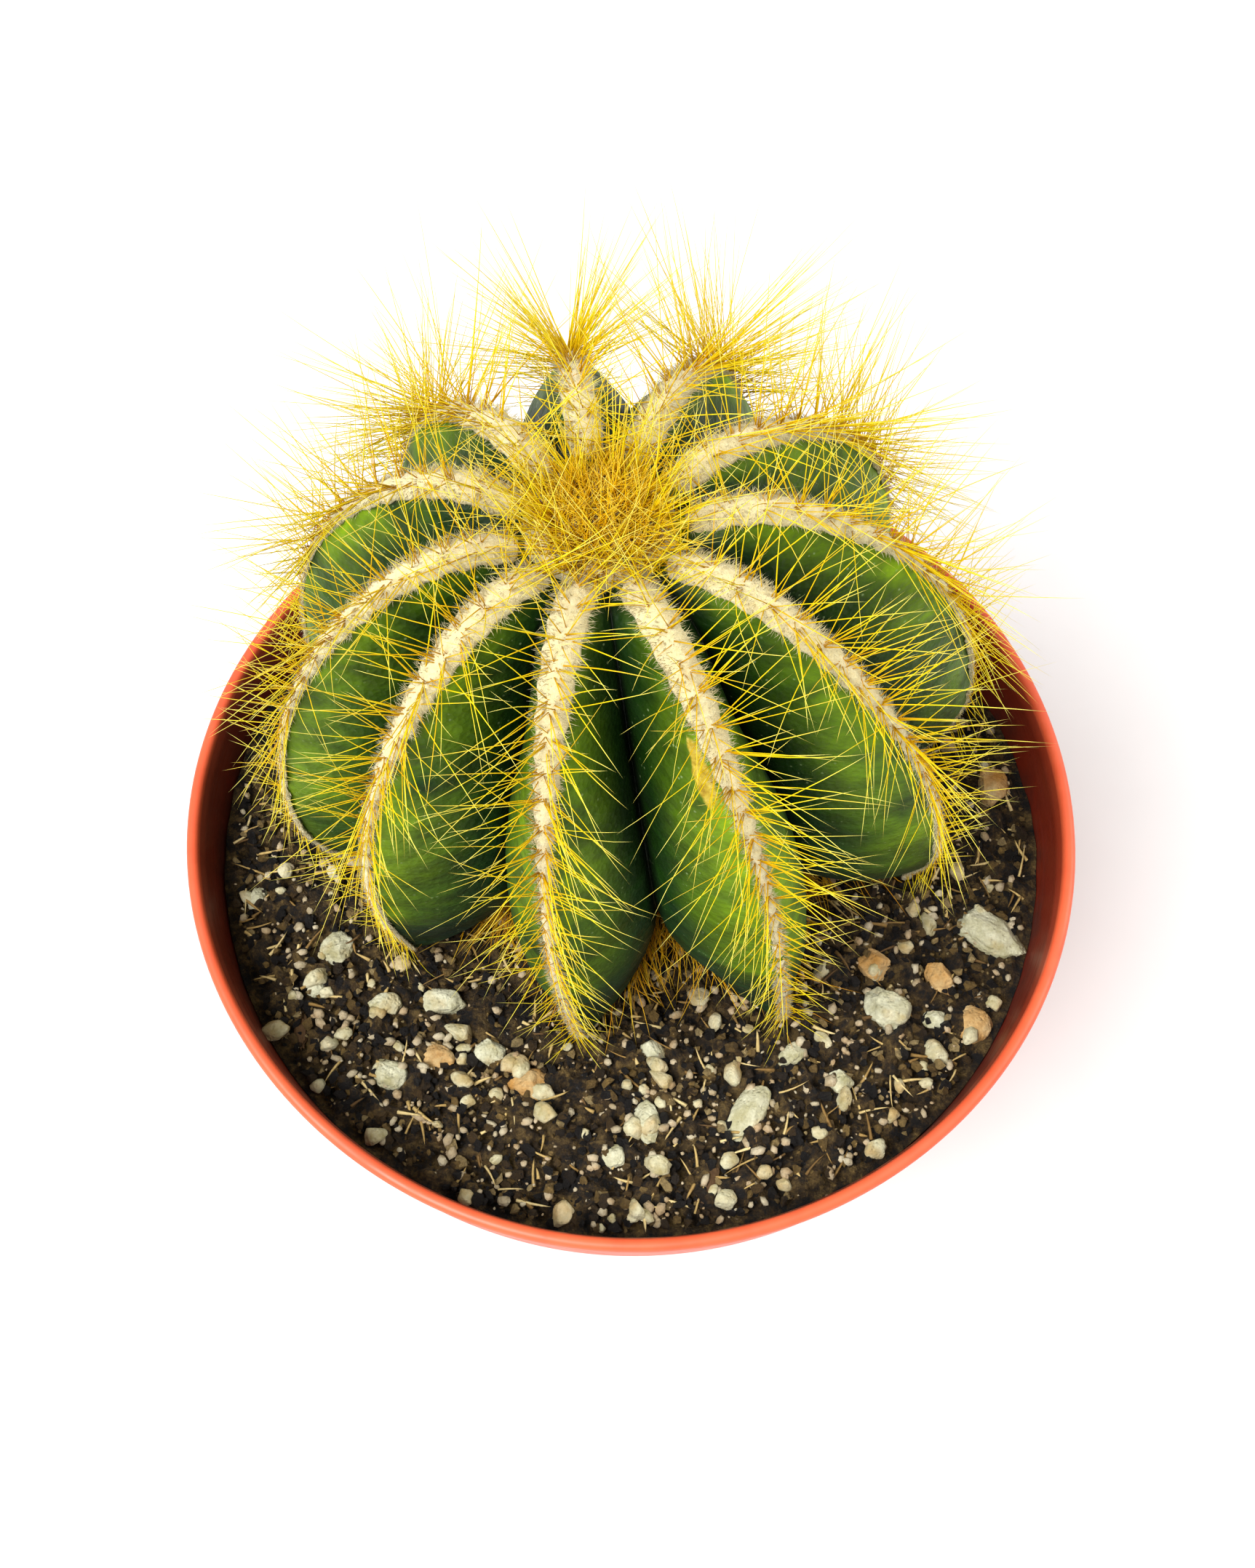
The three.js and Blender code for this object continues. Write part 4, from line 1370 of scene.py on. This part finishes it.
    def tuft(self, sizes, needle):
        """Young spines that stand crowded in the crown, the outer ones leaning out over the ribs."""
        rng = np.random.default_rng(SEED + 300)
        count = sizes.crown_spines
        outer = rng.random(count) < 0.16
        share = np.where(outer, rng.uniform(0.5, 1.1, count), np.sqrt(rng.random(count)))
        turn = rng.uniform(0, TAU, count)
        away = np.stack([np.sin(turn), -np.cos(turn), np.zeros(count)], -1)
        base = CROWN + away * (TUFT_RADIUS * share)[:, None]
        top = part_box("crown_felt")[1][2]
        base[:, 2] = top - 1.8 * MM * share**2 - rng.uniform(0, 0.8, count) * MM
        lean = np.where(outer, rng.uniform(0.3, 1.4, count), 0.35 * share)
        lean = lean + rng.normal(0, 0.1, count)
        swirl = rng.normal(0, 1, (count, 3)) * np.where(outer, 0.25, 0.85)[:, None] * [1, 1, 0]
        heading = np.array([0, 0, 1.0]) + away * lean[:, None] + swirl
        long = np.where(outer, rng.uniform(0.5, 1.25, count), rng.uniform(0.2, 0.42, count))
        long = long * sizes.crown_length
        bend = rng.normal(0, 0.32, (count, 3)) * long[:, None] * np.where(outer, 0.5, 1)[:, None]
        tone = np.clip(rng.normal(np.where(outer, 0.85, 0.2), 0.25), 0, 1)
        thick = sizes.spine_radius * rng.uniform(0.75, 1.15, count)
        return plant_needles("crown_tuft", needle, base, unit(heading), long, thick, bend, tone)


# ---------------------------------------------------------------- stage


class CACTUS_OT_stage(bpy.types.Operator):
    """Set the plain pale floor, the soft lights and the camera"""

    bl_idname = "cactus.make_stage"
    bl_label = "Stage"

    def execute(self, context):
        stage = settings(context).stage
        self.floor()
        self.light("key_light", (-0.32, -0.3, 0.7), 0.5, stage.key)
        self.light("fill_light", (0.55, 0.1, 0.5), 0.6, stage.fill)
        world = context.scene.world or bpy.data.worlds.new("pale_room")
        context.scene.world = world
        world.use_nodes = True
        light = world.node_tree.nodes["Background"].inputs
        light["Color"].default_value = (1.0, 0.97, 0.92, 1)
        light["Strength"].default_value = stage.sky
        context.scene.view_settings.view_transform = "Standard"
        self.camera(context, stage)
        return {"FINISHED"}

    def floor(self):
        deselect_all()
        bpy.ops.mesh.primitive_grid_add(x_subdivisions=8, y_subdivisions=8, size=6)
        floor = rename(bpy.context.object, "floor")
        nodes = Finish("pale_floor")
        grain = nodes.noise(nodes.coordinates(), 30.0, 3.0)
        pale = nodes.blend(nodes.range(grain, 0.3, 0.7), (0.84, 0.84, 0.84), (0.87, 0.87, 0.87))
        floor.data.materials.append(nodes.surface(Base_Color=pale, Roughness=0.8))

    def light(self, name, place, size, power):
        lamp = bpy.data.lights.new(name, "AREA")
        lamp.shape = "DISK"
        lamp.size = size
        lamp.energy = power
        obj = bpy.data.objects.new(name, lamp)
        obj.location = place
        toward = Vector((0, 0, POT_HEIGHT)) - Vector(place)
        obj.rotation_euler = toward.to_track_quat("-Z", "Y").to_euler()
        bpy.context.scene.collection.objects.link(obj)

    def camera(self, context, stage):
        aim = Vector((-0.7 * MM, 0, POT_HEIGHT + 3.5 * MM))
        back = Vector((0, -math.cos(stage.elevation), math.sin(stage.elevation)))
        right = Vector((1, 0, 0))
        up = right.cross(-back)
        across = math.cos(stage.roll) * right + math.sin(stage.roll) * up
        upward = math.cos(stage.roll) * up - math.sin(stage.roll) * right
        data = bpy.data.cameras.new("camera")
        data.lens = stage.lens
        data.clip_start = 0.01
        camera = bpy.data.objects.new("camera", data)
        turned = Matrix((across, upward, back)).transposed().to_4x4()
        camera.matrix_world = Matrix.Translation(aim + back * stage.distance) @ turned
        context.scene.collection.objects.link(camera)
        context.scene.camera = camera


class CACTUS_PT_panel(bpy.types.Panel):
    """Lists the steps that make the plant"""

    bl_label = "Cactus"
    bl_idname = "CACTUS_PT_panel"
    bl_space_type = "VIEW_3D"
    bl_region_type = "UI"
    bl_category = "Cactus"

    def draw(self, context):
        for step in STEPS:
            self.layout.operator(step.bl_idname)
        for group in (settings(context).sizes, settings(context).colours, settings(context).stage):
            box = self.layout.box()
            for name in group.__annotations__:
                box.prop(group, name)


STEPS = (
    CACTUS_OT_pot,
    CACTUS_OT_soil,
    CACTUS_OT_grains,
    CACTUS_OT_stem,
    CACTUS_OT_felt,
    CACTUS_OT_spines,
    CACTUS_OT_stage,
)
CLASSES = (CactusColours, CactusSizes, CactusStage, CactusSettings, *STEPS, CACTUS_PT_panel)


def register():
    for item in CLASSES:
        bpy.utils.register_class(item)
    bpy.types.Scene.cactus = PointerProperty(type=CactusSettings)


def unregister():
    del bpy.types.Scene.cactus
    for item in reversed(CLASSES):
        bpy.utils.unregister_class(item)


def main():
    register()
    bpy.ops.cactus.make_pot()
    bpy.ops.cactus.make_soil()
    bpy.ops.cactus.make_grains()
    bpy.ops.cactus.make_stem()
    bpy.ops.cactus.make_felt()
    bpy.ops.cactus.make_spines()
    bpy.ops.cactus.make_stage()


if __name__ == "__main__":
    main()
